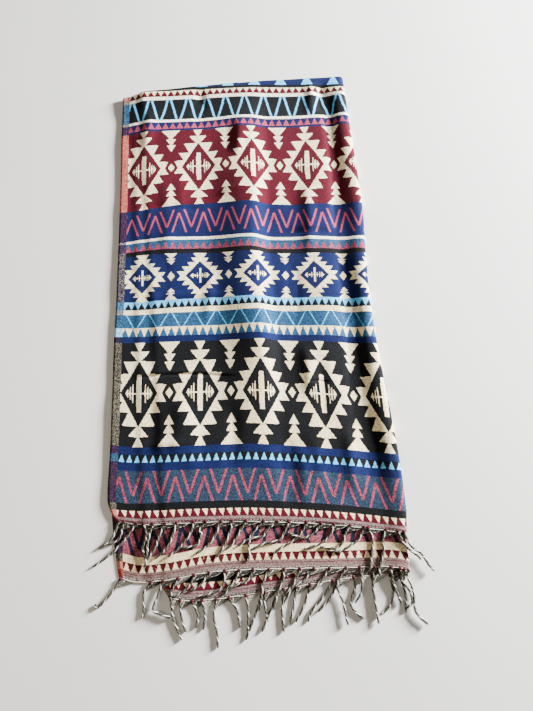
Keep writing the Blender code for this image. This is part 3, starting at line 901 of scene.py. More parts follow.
class Wave(NamedTuple):
    """A sine wave over the cloth: its rates along X and Y, in radians per metre, and its start."""

    x: float
    y: float
    start: float = 0.0

    def at(self, x: Array, y: Array) -> Array:
        """Gives the wave's height, from -1 to 1."""
        return np.sin(self.x * x + self.y * y + self.start)


class Section(NamedTuple):
    """Layer 1 at one distance from its hem: its sides, and its place at six stations across."""

    run: float
    left: float
    fold: float
    places: tuple[float, ...]


class Crest(NamedTuple):
    """The soft ridge along layer 1, at one place."""

    y: float
    x: float
    height: float


class Crease(NamedTuple):
    """A soft crease in layer 1, from one end to the other; a trough's height is below 0."""

    x0: float
    y0: float
    x1: float
    y1: float
    wide: float
    height: float


@dataclass
class Surface:
    """A grid of points with their places on the flat cloth."""

    x: Array
    y: Array
    z: Array
    u: Array
    v: Array


@dataclass
class Drape:
    """How the four layers lie, worked out from the same sizes as the solids."""

    centre: Pair = (-0.0092, 0.0452)
    wall: float = 0.0012
    pitch: float = 0.0020
    ramp: float = 0.014
    ramp_margin: float = 0.006
    roll_pitch: float = 0.0044
    roll_depth: float = 0.045
    tuck: float = 0.016
    fold_height: float = 0.0124
    fold_height_at_hem: float = 0.0090
    fold_settles: float = 0.12
    fold_width: Pair = (0.034, 0.010)
    inner_fold_height: float = 0.0070
    inner_fold_inset: float = 0.0020
    inner_fold_at_hem: float = 0.1845
    back_run: Pair = (0.673, 0.693)
    stations: tuple[float, ...] = (0.0, 0.1, 0.3, 0.5, 0.75, 1.0)
    sections: tuple[Section, ...] = (
        Section(0.000, -0.1970, 0.1840, (-0.2270, -0.2310, -0.2280, -0.2270, -0.2308, -0.2405)),
        Section(0.012, -0.2055, 0.1843, (-0.2165, -0.2190, -0.2161, -0.2150, -0.2190, -0.2285)),
        Section(0.030, -0.2118, 0.1848, (-0.1990, -0.2010, -0.1980, -0.1965, -0.2015, -0.2105)),
        Section(0.100, -0.2135, 0.1790, (-0.1280, -0.1310, -0.1290, -0.1265, -0.1320, -0.1405)),
        Section(0.252, -0.2195, 0.1585, (0.0195, 0.0190, 0.0210, 0.0223, 0.0205, 0.0165)),
        Section(0.315, -0.2210, 0.1520, (0.0810, 0.0810, 0.0855, 0.0868, 0.0870, 0.0855)),
        Section(0.387, -0.2235, 0.1493, (0.1500, 0.1545, 0.1572, 0.1570, 0.1565, 0.1560)),
        Section(0.470, -0.2265, 0.1477, (0.2275, 0.2310, 0.2400, 0.2415, 0.2390, 0.2410)),
        Section(0.604, -0.2333, 0.1345, (0.3655, 0.3700, 0.3740, 0.3783, 0.3785, 0.3825)),
        Section(0.000, -0.2355, 0.1265, (0.4350, 0.4425, 0.4510, 0.4590, 0.4665, 0.4715)),
    )
    ridge_rise: float = 0.070
    ridge_fall: float = 0.030
    shoulder: Triple = (0.35, 0.085, 0.050)
    crests: tuple[Crest, ...] = (
        Crest(-0.200, -0.004, 0.0000), Crest(-0.130, -0.004, 0.0020),
        Crest(-0.050, -0.005, 0.0070), Crest(0.024, -0.009, 0.0110),
        Crest(0.160, -0.022, 0.0105), Crest(0.245, -0.024, 0.0100),
        Crest(0.385, -0.027, 0.0050), Crest(0.460, -0.030, 0.0010),
    )
    layer2_left: tuple[Pair, ...] = (
        (-0.3000, -0.1860), (-0.2960, -0.1900), (-0.2755, -0.1950), (-0.2510, -0.2000),
        (-0.1900, -0.2080), (0.4300, -0.2310),
    )
    layer3_left: tuple[Pair, ...] = (
        (-0.3245, -0.1215), (-0.3140, -0.1290), (-0.3030, -0.1360), (-0.2600, -0.1480),
        (0.4300, -0.2080),
    )
    layer4_left: Pair = (-0.119, -0.195)
    layer4_slant: float = 0.10
    hem2: tuple[Pair, ...] = (
        (-0.1870, -0.2985), (-0.1650, -0.3033), (-0.1420, -0.3020), (-0.1140, -0.2980),
        (-0.0860, -0.2925), (-0.0540, -0.2890), (-0.0060, -0.2870), (0.0930, -0.2853),
        (0.1340, -0.2842), (0.1630, -0.2842), (0.1845, -0.2877),
    )
    hem3: tuple[Pair, ...] = (
        (-0.1230, -0.3223), (-0.0975, -0.3246), (-0.0490, -0.3211), (0.0000, -0.3140),
        (0.0450, -0.3070), (0.0850, -0.3008), (0.1300, -0.2955), (0.1845, -0.2925),
    )
    creases: tuple[Crease, ...] = (
        Crease(-0.205, -0.036, -0.030, -0.034, 0.0017, -0.0007),
        Crease(-0.205, -0.031, -0.030, -0.029, 0.0030, 0.0005),
        Crease(0.055, -0.040, 0.090, -0.041, 0.0016, -0.0006),
        Crease(0.094, 0.440, 0.104, 0.160, 0.008, -0.0022),
        Crease(0.104, 0.200, 0.124, -0.120, 0.009, -0.0024),
        Crease(-0.108, 0.455, -0.112, 0.395, 0.008, -0.0016),
        Crease(0.072, 0.465, 0.070, 0.400, 0.007, 0.0016),
        Crease(0.090, 0.465, 0.087, 0.405, 0.006, -0.0014),
        Crease(-0.160, 0.300, -0.150, 0.140, 0.012, 0.0012),
        Crease(-0.185, 0.120, -0.170, 0.000, 0.010, -0.0008),
        Crease(0.040, 0.150, 0.030, 0.020, 0.010, -0.0011),
        Crease(-0.110, -0.070, -0.100, -0.180, 0.011, 0.0009),
        Crease(0.060, -0.100, 0.072, -0.205, 0.012, 0.0011),
        Crease(0.020, -0.120, 0.028, -0.200, 0.009, -0.0007),
        Crease(-0.030, 0.300, 0.080, 0.292, 0.006, -0.0006),
        Crease(-0.190, 0.235, -0.090, 0.228, 0.005, -0.0005),
        Crease(0.080, 0.060, 0.150, 0.052, 0.006, -0.0007),
        Crease(-0.043, 0.402, -0.048, 0.318, 0.008, 0.0011),
        Crease(-0.061, 0.398, -0.064, 0.322, 0.007, -0.0006),
        Crease(-0.075, 0.255, -0.030, 0.271, 0.005, 0.0008),
        Crease(-0.216, 0.366, -0.209, 0.310, 0.007, -0.0010),
        Crease(-0.190, 0.417, -0.192, 0.338, 0.009, 0.0012),
        Crease(-0.116, 0.437, -0.107, 0.371, 0.007, -0.0014),
        Crease(0.101, 0.441, 0.103, 0.338, 0.005, -0.0013),
        Crease(-0.136, 0.301, -0.137, 0.180, 0.011, 0.0012),
        Crease(0.060, 0.283, 0.064, 0.143, 0.010, 0.0014),
        Crease(-0.160, 0.163, -0.157, 0.037, 0.010, -0.0009),
        Crease(-0.085, 0.143, -0.087, 0.037, 0.009, 0.0011),
        Crease(0.052, 0.021, 0.061, -0.066, 0.008, 0.0012),
        Crease(0.074, 0.009, 0.079, -0.108, 0.008, -0.0009),
        Crease(-0.121, -0.052, -0.122, -0.161, 0.012, 0.0013),
        Crease(-0.162, -0.066, -0.162, -0.161, 0.010, -0.0009),
        Crease(-0.047, -0.066, -0.049, -0.175, 0.010, -0.0010),
        Crease(0.025, -0.108, 0.030, -0.216, 0.006, -0.0011),
        Crease(0.046, -0.121, 0.052, -0.216, 0.009, 0.0012),
        Crease(0.108, -0.094, 0.115, -0.200, 0.009, 0.0013),
        Crease(0.133, -0.066, 0.145, -0.200, 0.008, -0.0013),
        Crease(-0.193, 0.083, -0.039, 0.089, 0.005, 0.0007),
        Crease(0.005, 0.193, 0.119, 0.186, 0.005, -0.0007),
        Crease(-0.192, -0.132, -0.091, -0.127, 0.006, 0.0007),
    )
    crease_share: float = 2.0
    crease_bow: float = 0.03
    crease_fade: Pair = (0.3, 0.7)
    fullness_of_top: float = 0.0007
    ripple_level: Pair = (0.6, 0.5)
    ripples: tuple[tuple[float, Wave, Wave], ...] = (
        (1.0, Wave(61.0, 17.0, 0.7), Wave(-11.0, 43.0)),
        (0.6, Wave(97.0, -29.0, 2.1), Wave(0.0, 71.0, 1.3)),
    )
    fringe_reach: float = 0.045
    inner_front: float = -0.232
    inner_depth: float = 0.692
    inner_fold_settles: Pair = (-0.290, -0.236)
    selvedge4_points: int = 60
    selvedge4: tuple[Array, Array] = field(init=False)

    def __post_init__(self) -> None:
        """Samples layer 4's selvedge once."""
        share = np.linspace(0.0, 1.0, self.selvedge4_points)
        x = self.layer4_left[0] + (self.layer4_left[1] - self.layer4_left[0]) * share
        self.selvedge4 = (self.layer4_y(x, share), x)

    @property
    def floor_middle(self) -> float:
        """The middle of a layer that lies on the floor."""
        return self.wall / 2

    def run_to_back(self, across: object) -> Array:
        """Run from the first hem to the crosswise fold."""
        return self.back_run[0] + (self.back_run[1] - self.back_run[0]) * np.asarray(across, float)

    def share_at(self, y: object, most: object = 1.0) -> Array:
        """Share of the run to the back fold, for a place along Y."""
        return np.clip((np.asarray(y) - self.inner_front) / self.inner_depth, 0.0, most)

    def knots(self, across: Array) -> Array:
        """The runs of the sections, the last of them at the back fold."""
        runs = [np.full(np.shape(across), section.run) for section in self.sections[:-1]]
        return np.array(runs + [self.run_to_back(across)])

    def side(self, places: Sequence[float], end: int, share: object) -> Array:
        """Reads one side of layer 1.

        Args:
            places: The side's place at each section.
            end: 0 for the selvedge and 1 for the lengthwise fold.
            share: Share of the run to the back fold.

        Returns:
            The side's place along X.
        """
        share = np.asarray(share, float)
        values = np.array([np.full(share.shape, place) for place in places])
        return curve(self.knots(np.full(share.shape, float(end))), values,
                     share * self.back_run[end])

    def left_edge(self, share: object) -> Array:
        """Left selvedge of layer 1."""
        return self.side([section.left for section in self.sections], 0, share)

    def fold_edge(self, share: object) -> Array:
        """Lengthwise fold of layer 1."""
        return self.side([section.fold for section in self.sections], 1, share)

    def row_y(self, across: object, share: object) -> Array:
        """Finds where a row of layer 1 lies.

        Args:
            across: Share of the layer's width.
            share: Share of the run to the back fold.

        Returns:
            The place along Y.
        """
        across, share = np.broadcast_arrays(np.asarray(across, float), np.asarray(share, float))
        values = [curve(self.stations, section.places, across) for section in self.sections]
        return curve(self.knots(across), np.array(values), share * self.run_to_back(across))

    def height_at_fold(self, share: object) -> Array:
        """Middle of layer 1 at the lengthwise fold."""
        settled = ease(0.0, self.fold_settles, np.asarray(share) * self.back_run[1])
        return self.fold_height_at_hem + (self.fold_height - self.fold_height_at_hem) * settled

    def bend(self, share: object) -> tuple[Array, Array]:
        """Start and radius of the lengthwise fold's half circle."""
        radius = (self.height_at_fold(share) - self.floor_middle) / 2
        return self.fold_edge(share) - self.wall / 2 - radius, radius

    def layer4_y(self, x: object, share: object) -> Array:
        """Finds where a row of layer 4 lies; it slants to the left and ends along the back fold.

        Args:
            x: The place along X.
            share: Share of the run to the back fold.

        Returns:
            The place along Y.
        """
        here = self.row_y(1.0, share)
        slanted = here - self.layer4_slant * (self.fold_edge(share) - x)
        left, fold = self.left_edge(1.0), self.fold_edge(1.0)
        folded = here + self.row_y((x - left) / (fold - left), 1.0) - self.row_y(1.0, 1.0)
        return slanted + (folded - slanted) * share

    def fullness(self, share: object) -> Array:
        """Pitch of the two layers that the back fold joins."""
        settled = ease(0.0, self.roll_depth, (1.0 - np.asarray(share)) * self.run_to_back(0.5))
        return self.roll_pitch + (self.pitch - self.roll_pitch) * settled

    def climbed(self, edge: object, at: object) -> Array:
        """1 where a layer has climbed over an edge below it."""
        top = np.asarray(edge) - self.ramp_margin
        return ease(top - self.ramp, top, at)

    def along(self, table: Table, at: object) -> Array:
        """Reads a table of pairs as a smooth curve."""
        return curve([row[0] for row in table], [row[1] for row in table], at)

    def over_layer4(self, x: object, y: object) -> Array:
        """1 where layer 4 or its fringe lies below."""
        front = self.layer4_y(x, 0.0) - self.fringe_reach
        return self.climbed(np.interp(y, *self.selvedge4), x) * self.climbed(front, y)

    def over_layer3(self, x: object, y: object) -> Array:
        """1 where layer 3 lies below."""
        left, front = self.along(self.layer3_left, y), self.along(self.hem3, x)
        return self.climbed(left, x) * self.climbed(front, y)

    def ridge(self, x: Array, y: Array) -> Array:
        """Works out the soft ridge and the low swell beside it.

        Args:
            x: Places along X.
            y: Places along Y.

        Returns:
            The height that they add.
        """
        ys = [crest.y for crest in self.crests]
        height = curve(ys, [crest.height for crest in self.crests], y)
        crest = curve(ys, [crest.x for crest in self.crests], y)
        shape = np.where(x < crest, ease(crest - self.ridge_rise, crest, x),
                         1.0 - ease(crest, crest + self.ridge_fall, x))
        part, place, half = self.shoulder
        shape = shape + part * ease(place - half, place, x) * (1.0 - ease(place, place + half, x))
        inside = (y > ys[0]) & (y < ys[-1])
        return np.where(inside, np.maximum(height, 0.0) * shape, 0.0)

    def creased(self, x: Array, y: Array) -> Array:
        """Works out the creases and the fine ripples of layer 1.

        Args:
            x: Places along X.
            y: Places along Y.

        Returns:
            The height that they add.
        """
        total = np.zeros(np.shape(x))
        begun, ending = self.crease_fade
        for crease in self.creases:
            dx, dy = crease.x1 - crease.x0, crease.y1 - crease.y0
            size = math.hypot(dx, dy)
            along = ((x - crease.x0) * dx + (y - crease.y0) * dy) / size
            aside = ((y - crease.y0) * dx - (x - crease.x0) * dy) / size
            bow = self.crease_bow * size * np.sin(math.pi * np.clip(along / size, 0.0, 1.0))
            fade = ease(0.0, begun * size, along) * (1.0 - ease(ending * size, size, along))
            total = total + crease.height * fade * np.exp(-((aside - bow) / crease.wide) ** 2)
        ripple = sum(part * one.at(x, y) * other.at(x, y) for part, one, other in self.ripples)
        level, swing = self.ripple_level
        return self.crease_share * total + self.fullness_of_top * (level + swing * ripple)

    def raised(self, level: Array, top: object, fold: object, x: Array) -> Array:
        """Raises a layer to the height of its lengthwise fold.

        Args:
            level: The layer's height away from the fold.
            top: Its height at the fold.
            fold: The fold's place along X.
            x: Places along X.

        Returns:
            The layer's height.
        """
        lift = ease(fold - self.fold_width[0], fold - self.fold_width[1], x)
        return level + (top - level) * lift

    def layer3_height(self, x: object, y: object, share: object) -> Array:
        """Middle of layer 3 above the floor."""
        return self.floor_middle + self.fullness(share) * self.over_layer4(x, y)

    def layer2_height(self, x: object, y: object, share: object) -> Array:
        """Middle of layer 2 above the floor."""
        return self.layer3_height(x, y, share) + self.pitch * self.over_layer3(x, y)

    def layer1_height(self, x: Array, y: Array, share: object) -> Array:
        """Middle of layer 1 above the floor."""
        level = self.layer2_height(x, y, share) + self.fullness(share) + self.ridge(x, y)
        return self.raised(level, self.height_at_fold(share), self.fold_edge(share), x)

    def hem1_y(self, x: object) -> Array:
        """Place along Y of the first hem."""
        left, start = self.left_edge(0.0), self.bend(0.0)[0]
        return self.row_y((np.asarray(x) - left) / (start - left), 0.0)

    def inner_fold_edge(self, y: object) -> Array:
        """Lengthwise fold of the inner half."""
        inside = self.fold_edge(self.share_at(y)) - self.inner_fold_inset - self.inner_fold_at_hem
        return self.inner_fold_at_hem + inside * ease(*self.inner_fold_settles, y)

    def inner_top_height(self, x: Array, y: Array) -> Array:
        """Middle of layer 2, where it rises to the inner lengthwise fold."""
        return self.raised(self.layer2_height(x, y, 0.0), self.inner_fold_height,
                           self.inner_fold_edge(y), x)


DRAPE = Drape()


def add_object(name: str, data: bpy.types.ID) -> bpy.types.Object:
    """Adds an object to the scene.

    Args:
        name: Its name.
        data: Its mesh, light or camera.

    Returns:
        The object.
    """
    made = bpy.data.objects.new(name, data)
    bpy.context.scene.collection.objects.link(made)
    return made


@dataclass(frozen=True)
class View:
    """The photograph's camera, over the middle of the picture of the cloth."""

    tilt: float = math.radians(15.33)
    distance: float = 0.767
    focal: float = 534.0
    middle: Pair = (266.5, 355.5)
    long_side: float = 711.0
    sensor: float = 36.0

    def place(self, column: float, row: float, height: float) -> Pair:
        """Finds the point at a height above the floor that a place in the picture shows.

        Args:
            column: Distance from the picture's left side.
            row: Distance from its top.
            height: Height above the floor, in metres.

        Returns:
            The point's place along X and Y.
        """
        right = (column - self.middle[0]) / self.focal
        up = (self.middle[1] - row) / self.focal
        sine, cosine = math.sin(self.tilt), math.cos(self.tilt)
        far = (self.distance * cosine - height) / (cosine - up * sine)
        return right * far, -self.distance * sine + far * (sine + up * cosine)

    def build(self) -> None:
        """Makes the scene's camera."""
        data = bpy.data.cameras.new("photograph view")
        data.sensor_width = self.sensor
        data.lens = self.focal / self.long_side * self.sensor
        camera = add_object("photograph view", data)
        camera.location = (-DRAPE.centre[0],
                           -self.distance * math.sin(self.tilt) - DRAPE.centre[1],
                           self.distance * math.cos(self.tilt))
        camera.rotation_euler = (self.tilt, 0.0, 0.0)
        bpy.context.scene.camera = camera


VIEW = View()


def new_mesh() -> bmesh.types.BMesh:
    """Starts a mesh that keeps places on the flat cloth.

    Returns:
        The mesh.
    """
    mesh = bmesh.new()
    mesh.loops.layers.uv.new(CLOTH_MAP)
    return mesh


def close_mesh(name: str, mesh: bmesh.types.BMesh) -> bpy.types.Mesh:
    """Turns a mesh that was being built into mesh data.

    Args:
        name: The data's name.
        mesh: The mesh, which is used up.

    Returns:
        The mesh data.
    """
    data = bpy.data.meshes.new(name)
    mesh.to_mesh(data)
    mesh.free()
    return data


def grid(mesh: bmesh.types.BMesh, surface: Surface, slot: int = 0) -> None:
    """Adds a grid to a mesh and moves it onto a surface.

    Args:
        mesh: The mesh, from new_mesh.
        surface: The points.
        slot: The material slot of its faces.
    """
    rows, columns = surface.x.shape
    made = bmesh.ops.create_grid(mesh, x_segments=columns - 1, y_segments=rows - 1, size=1.0)
    layer = mesh.loops.layers.uv[CLOTH_MAP]
    places = {}
    for vertex in made["verts"]:
        at = (round((vertex.co.y + 1) / 2 * (rows - 1)),
              round((vertex.co.x + 1) / 2 * (columns - 1)))
        places[vertex] = at
        vertex.co = (surface.x[at] - DRAPE.centre[0], surface.y[at] - DRAPE.centre[1],
                     surface.z[at])
    for face in {face for vertex in made["verts"] for face in vertex.link_faces}:
        face.material_index = slot
        face.smooth = True
        for loop in face.loops:
            at = places[loop.vert]
            loop[layer].uv = (surface.u[at], surface.v[at])


def finish_piece(name: str, mesh: bmesh.types.BMesh, finishes: Sequence[bpy.types.Material],
                 nodes: Sequence[str]) -> bpy.types.Object:
    """Makes a mesh a piece of the shawl.

    Args:
        name: The piece's name.
        mesh: Its mesh, which is used up.
        finishes: Its materials.
        nodes: The CAD nodes that it stands for.

    Returns:
        The piece.
    """
    data = close_mesh(name, mesh)
    for finish in finishes:
        data.materials.append(finish)
    piece = add_object(name, data)
    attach(piece, "root")
    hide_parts(*nodes)
    LOG.info("%s: %d faces", name, len(data.polygons))
    return piece


@dataclass
class Cloth:
    """What both halves of the folded cloth share."""

    finishes: tuple[bpy.types.Material, bpy.types.Material]
    curled: float = field(default=0.6, kw_only=True)

    @staticmethod
    def arc(x: Array, y: Array, z: Array) -> Array:
        """Distance along each row from its left end."""
        steps = np.sqrt(np.diff(x, axis=1) ** 2 + np.diff(y, axis=1) ** 2 + np.diff(z, axis=1) ** 2)
        return np.concatenate([np.zeros((len(x), 1)), np.cumsum(steps, axis=1)], axis=1)

    def piece(self, name: str, surface: Surface, slot: str,
              nodes: Sequence[str]) -> bpy.types.Object:
        """Makes a sheet with its first finish up, and its second on the inside of its wall.

        Args:
            name: The piece's name.
            surface: The middle of its wall.
            slot: The record's material slot, which is not used.
            nodes: The CAD nodes that it stands for.

        Returns:
            The piece.
        """
        mesh = new_mesh()
        grid(mesh, surface)
        mesh.faces.ensure_lookup_table()
        if mesh.faces[0].normal.z == 0.0:
            mesh.normal_update()
        if mesh.faces[0].normal.z < 0.0:
            bmesh.ops.reverse_faces(mesh, faces=mesh.faces)
        made = finish_piece(name, mesh, self.finishes, nodes)
        thick = made.modifiers.new("cloth thickness", "SOLIDIFY")
        thick.thickness = DRAPE.wall
        thick.offset = 0.0
        thick.use_even_offset = True
        thick.material_offset = 1
        return made


@dataclass
class OuterHalf(Cloth):
    """Layers 1 and 4 round the lengthwise fold, with their back end rolled in."""

    columns: int = 126
    bend_columns: int = 12
    under_columns: int = 26
    rows: int = 190
    close_runs: Pair = (0.1871, 0.2069)
    close_rows: int = 24
    hem_start: float = 0.0035
    clearance: float = 0.0016
    roll_rows: int = 9
    tuck_rows: int = 3
    settled_section: int = 2

    def surface(self) -> Surface:
        """Works out the points.

        Returns:
            The surface, from the first hem to the end of the tuck.
        """
        d = DRAPE
        close = np.linspace(*self.close_runs, self.close_rows) / d.run_to_back(0.5)
        steps = np.sort(np.concatenate([np.linspace(0.0, 1.0, self.rows), close]))
        angles = np.linspace(0.0, math.pi, self.roll_rows + 1)[1:]
        parts = np.linspace(0.0, 1.0, self.tuck_rows + 1)[1:]
        radius = d.roll_pitch / 2
        tucked = 1.0 - parts * d.tuck / d.run_to_back(0.5)

        def stack(cloth: Array, roll: Array, tuck: Array) -> Array:
            """Puts the rows of the cloth, its roll and its tuck in one column."""
            return np.concatenate([cloth, roll, tuck])[:, None]

        flat = np.zeros_like(steps)
        share = stack(steps, np.ones_like(angles), tucked)
        inward = stack(flat, radius * (1 - np.cos(angles)), d.fullness(tucked))
        beyond = stack(flat, radius * np.sin(angles), np.zeros_like(parts))
        past = stack(flat, radius * angles, radius * math.pi + parts * d.tuck)
        run = np.where(past > 0.0, 1.0, share)

        start, bend = d.bend(share)
        left = d.left_edge(share)
        across = np.linspace(0.0, 1.0, self.columns)[None, :]
        x1 = left + (start - left) * across
        y1 = d.row_y(across, share)
        z1 = d.layer1_height(x1, y1, share) + d.creased(x1, y1)
        z1 = np.maximum(z1, d.inner_top_height(x1, y1) + self.clearance) - inward
        v1 = run * d.run_to_back(across) + past + self.hem_start

        turn = np.linspace(0.0, math.pi, self.bend_columns + 1)[None, 1:]
        x2 = start + (bend - inward) * np.sin(turn)
        y2 = d.row_y(1.0, share) + np.zeros_like(turn)
        z2 = d.floor_middle + bend + (bend - inward) * np.cos(turn)

        inset = np.linspace(0.0, 1.0, self.under_columns + 1)[None, 1:]
        left4 = d.layer4_left[0] + (d.layer4_left[1] - d.layer4_left[0]) * share
        x3 = start + (left4 - start) * inset
        y3 = d.layer4_y(x3, share)
        z3 = d.floor_middle + inward + np.zeros_like(x3)
        v2 = run * d.run_to_back(1.0) + past + self.hem_start + np.zeros(
            (1, self.bend_columns + self.under_columns))
        x, z = np.hstack([x1, x2, x3]), np.hstack([z1, z2, z3])
        y, v = np.hstack([y1, y2, y3]) + beyond, np.hstack([v1, v2])
        settled = d.sections[self.settled_section]
        turned_in = np.where(share * d.back_run[0] < settled.run, left - settled.left, 0.0)
        return Surface(x, y, z, self.arc(x, y, z) + self.curled * turned_in, v)

    def build(self) -> bpy.types.Object:
        """Makes the outer half."""
        return self.piece("shawl_outer_half", self.surface(), "woven_face", ["outer_half"])


@dataclass
class InnerHalf(Cloth):
    """Layers 2 and 3 round the inner fold, from their hems to the tuck of the outer half."""

    columns: int = 74
    bend_columns: int = 8
    under_columns: int = 70
    front_rows: int = 52
    hidden_rows: int = 34
    front_part: float = 0.16
    width: float = 0.700
    hem_end: float = 1.439
    tuck_gap: float = 0.001
    back_x: float = 0.12
    beside_fold: float = 0.004
    rounds: int = 4
    settled_row: int = 3
    wave_height: float = 0.00018
    waves: tuple[Wave, Wave] = (Wave(74.0, 0.0, 1.1), Wave(0.0, 58.0))

    def surface(self) -> Surface:
        """Works out the points.

        Returns:
            The surface, from the second and third hems to the back.
        """
        d = DRAPE
        part = np.concatenate([np.linspace(0.0, self.front_part, self.front_rows),
                               np.linspace(self.front_part, 1.0, self.hidden_rows)[1:]])[:, None]
        back = 1.0 - (d.tuck + self.tuck_gap) / d.run_to_back(0.5)

        def back_y(x: Array) -> Array:
            """Where the layers meet the tuck of the outer half."""
            left = d.left_edge(back)
            return d.row_y((x - left) / (d.bend(back)[0] - left), back)

        front = d.hem2[-1][1]
        fold_y = front + (back_y(np.array(self.back_x)) - front) * part
        fold = d.inner_fold_edge(fold_y)
        share = d.share_at(fold_y, back)
        low = d.layer3_height(fold - self.beside_fold, fold_y, share)
        bend = (d.inner_fold_height - low) / 2
        start = fold - d.wall / 2 - bend

        def layer(table: Table, hem: Table, across: Array) -> tuple[Array, Array]:
            """Finds the places of a layer.

            Args:
                table: Its selvedge.
                hem: Its hem.
                across: Share of its width, from the selvedge to the fold.

            Returns:
                The places along X and along Y.
            """
            x = y = fold_y + np.zeros_like(across)
            for _ in range(self.rounds):
                left = d.along(table, y)
                x = left + (start - left) * across
                y = d.along(hem, x) + (back_y(x) - d.along(hem, x)) * part
            return x, y

        across = np.linspace(0.0, 1.0, self.columns)[None, :]
        x1, y1 = layer(d.layer2_left, d.hem2, across)
        z1 = d.raised(d.layer2_height(x1, y1, share), d.inner_fold_height, fold, x1)
        v1 = y1 - d.along(d.hem2, x1)

        turn = np.linspace(0.0, math.pi, self.bend_columns + 1)[None, 1:]
        gap = (d.hem3[-1][1] - front) * (1.0 - part)
        x2 = start + bend * np.sin(turn)
        y2 = y1[:, -1:] + gap * turn / math.pi
        z2 = low + bend + bend * np.cos(turn)
        v2 = v1[:, -1:] + np.zeros_like(turn)

        inset = np.linspace(0.0, 1.0, self.under_columns + 1)[None, 1:]
        x3, y3 = layer(d.layer3_left, d.hem3, 1.0 - inset)
        z3 = d.layer3_height(x3, y3, share)
        v3 = y3 - d.along(d.hem3, x3)
        waves = self.wave_height * self.waves[0].at(x1, y1) * self.waves[1].at(x1, y1)
        x, y = np.hstack([x1, x2, x3]), np.hstack([y1, y2, y3])
        z = np.hstack([z1 + waves, z2, z3])
        u1 = self.arc(x1, y1, z1) + self.turned_in(x1[:, :1], d.layer2_left)
        u3 = self.arc(x3[:, ::-1], y3[:, ::-1], z3[:, ::-1])[:, ::-1]
        u3 = self.width - self.turned_in(x3[:, -1:], d.layer3_left) - u3
        u2 = u1[:, -1:] + (u3[:, :1] - u1[:, -1:]) * turn / (math.pi + math.pi / turn.size)
        return Surface(x, y, z, np.hstack([u1, u2, u3]),
                       self.hem_end - np.hstack([v1, v2, v3]))

    def turned_in(self, left: Array, table: Table) -> Array:
        """How much of the selvedge is turned in where the edge comes short of its place."""
        return self.curled * np.clip(left - table[self.settled_row][1], 0.0, None)

    def build(self) -> bpy.types.Object:
        """Makes the inner half."""
        return self.piece("shawl_inner_half", self.surface(), "woven_reverse",
                          ["inner_half_core", "inner_half_ends"])


def travelled(points: Array) -> Array:
    """Distance along a line of points, from the first."""
    steps = np.linalg.norm(np.diff(points, axis=0), axis=1)
    return np.concatenate([[0.0], np.cumsum(steps)])


def across(route: Array) -> tuple[Array, Array]:
    """Finds the two directions across a line.

    Args:
        route: Points of the line, one row each.

    Returns:
        At each point, the direction that is level, and the one that stands on it.
    """
    heading = np.gradient(route, axis=0)
    heading /= np.linalg.norm(heading, axis=1)[:, None]
    aside = np.cross(heading, (0.0, 0.0, 1.0))
    aside /= np.maximum(np.linalg.norm(aside, axis=1), 1e-9)[:, None]
    return aside, np.cross(aside, heading)


def tube(mesh: bmesh.types.BMesh, route: Array, radius: Array, sides: int,
         slot: int) -> None:
    """Adds a closed tube along a route to a mesh.

    Args:
        mesh: The mesh, from new_mesh.
        route: Points, one row each.
        radius: The tube's radius at each point.
        sides: How many sides it has.
        slot: The material slot of its faces.
    """
    aside, upward = across(route)
    angle = np.linspace(0.0, 2 * math.pi, sides + 1)
    ring = (np.cos(angle)[None, :, None] * aside[:, None, :]
            + np.sin(angle)[None, :, None] * upward[:, None, :])
    points = route[:, None, :] + ring * radius[:, None, None]
    turn = np.linspace(0.0, 1.0, sides + 1)[None, :] + np.zeros((len(route), 1))
    far = travelled(route)[:, None] + np.zeros_like(turn)
    part = new_mesh()
    grid(part, Surface(points[..., 0], points[..., 1], points[..., 2], turn, far), slot)
    bmesh.ops.remove_doubles(part, verts=part.verts, dist=1e-7)
    ends = [edge for edge in part.edges if edge.is_boundary]
    for face in bmesh.ops.holes_fill(part, edges=ends, sides=0)["faces"]:
        face.material_index = slot
    bmesh.ops.recalc_face_normals(part, faces=part.faces)
    made = close_mesh("tube", part)
    mesh.from_mesh(made)
    bpy.data.meshes.remove(made)


@dataclass(frozen=True)
class Twist:
    """Plies wound round a line, a little unevenly.

    The core is the distance of a ply's middle from the line, the ply its radius and the lay the
    length of one turn. An unevenness is its share, its rate per metre and its step from ply to
    ply, and the worn end is the share that is left and how fast a ply tapers to it.
    """

    core: float
    ply: float
    lay: float
    slots: tuple[int, ...]
    sides: int = 5
    sway: Triple = (0.5, 310.0, 1.3)
    loose: Triple = (0.12, 520.0, 2.4)
    lumpy: Triple = (0.14, 900.0, 2.0)
    worn_end: Triple = (0.35, 0.003, 0.002)

    def wind(self, mesh: bmesh.types.BMesh, route: Array, turn: float = 0.0) -> None:
        """Winds the plies.

        Args:
            mesh: The mesh that they go in.
            route: The line.
            turn: Where the first ply starts, in radians.
        """
        aside, upward = across(route)
        far = travelled(route)
        for k, slot in enumerate(self.slots):
            angle = turn + 2 * math.pi * (far / self.lay + k / len(self.slots))
            angle = angle + self.sway[0] * np.sin(far * self.sway[1] + self.sway[2] * turn)
            share, rate, step = self.loose
            reach = self.core * (1.0 + share * np.sin(far * rate + step * k + turn))[:, None]
            middle = route + reach * (np.cos(angle)[:, None] * aside
                                      + np.sin(angle)[:, None] * upward)
            share, rate, step = self.lumpy
            wobble = 1.0 + share * np.sin(far * rate + step * k + turn)
            left, taper, more = self.worn_end
            ends = np.minimum(1.0, left + (far[-1] - far) / (taper + more * (k % 2)))
            tube(mesh, middle, self.ply * wobble * ends, self.sides, slot)


class Yarn(IntEnum):
    """The yarns of a fringe, each with the material slot that it takes."""

    BLACK = 0
    WHITE = 1
    GREY = 2
    GATHERED = 3
    KNOT = 4


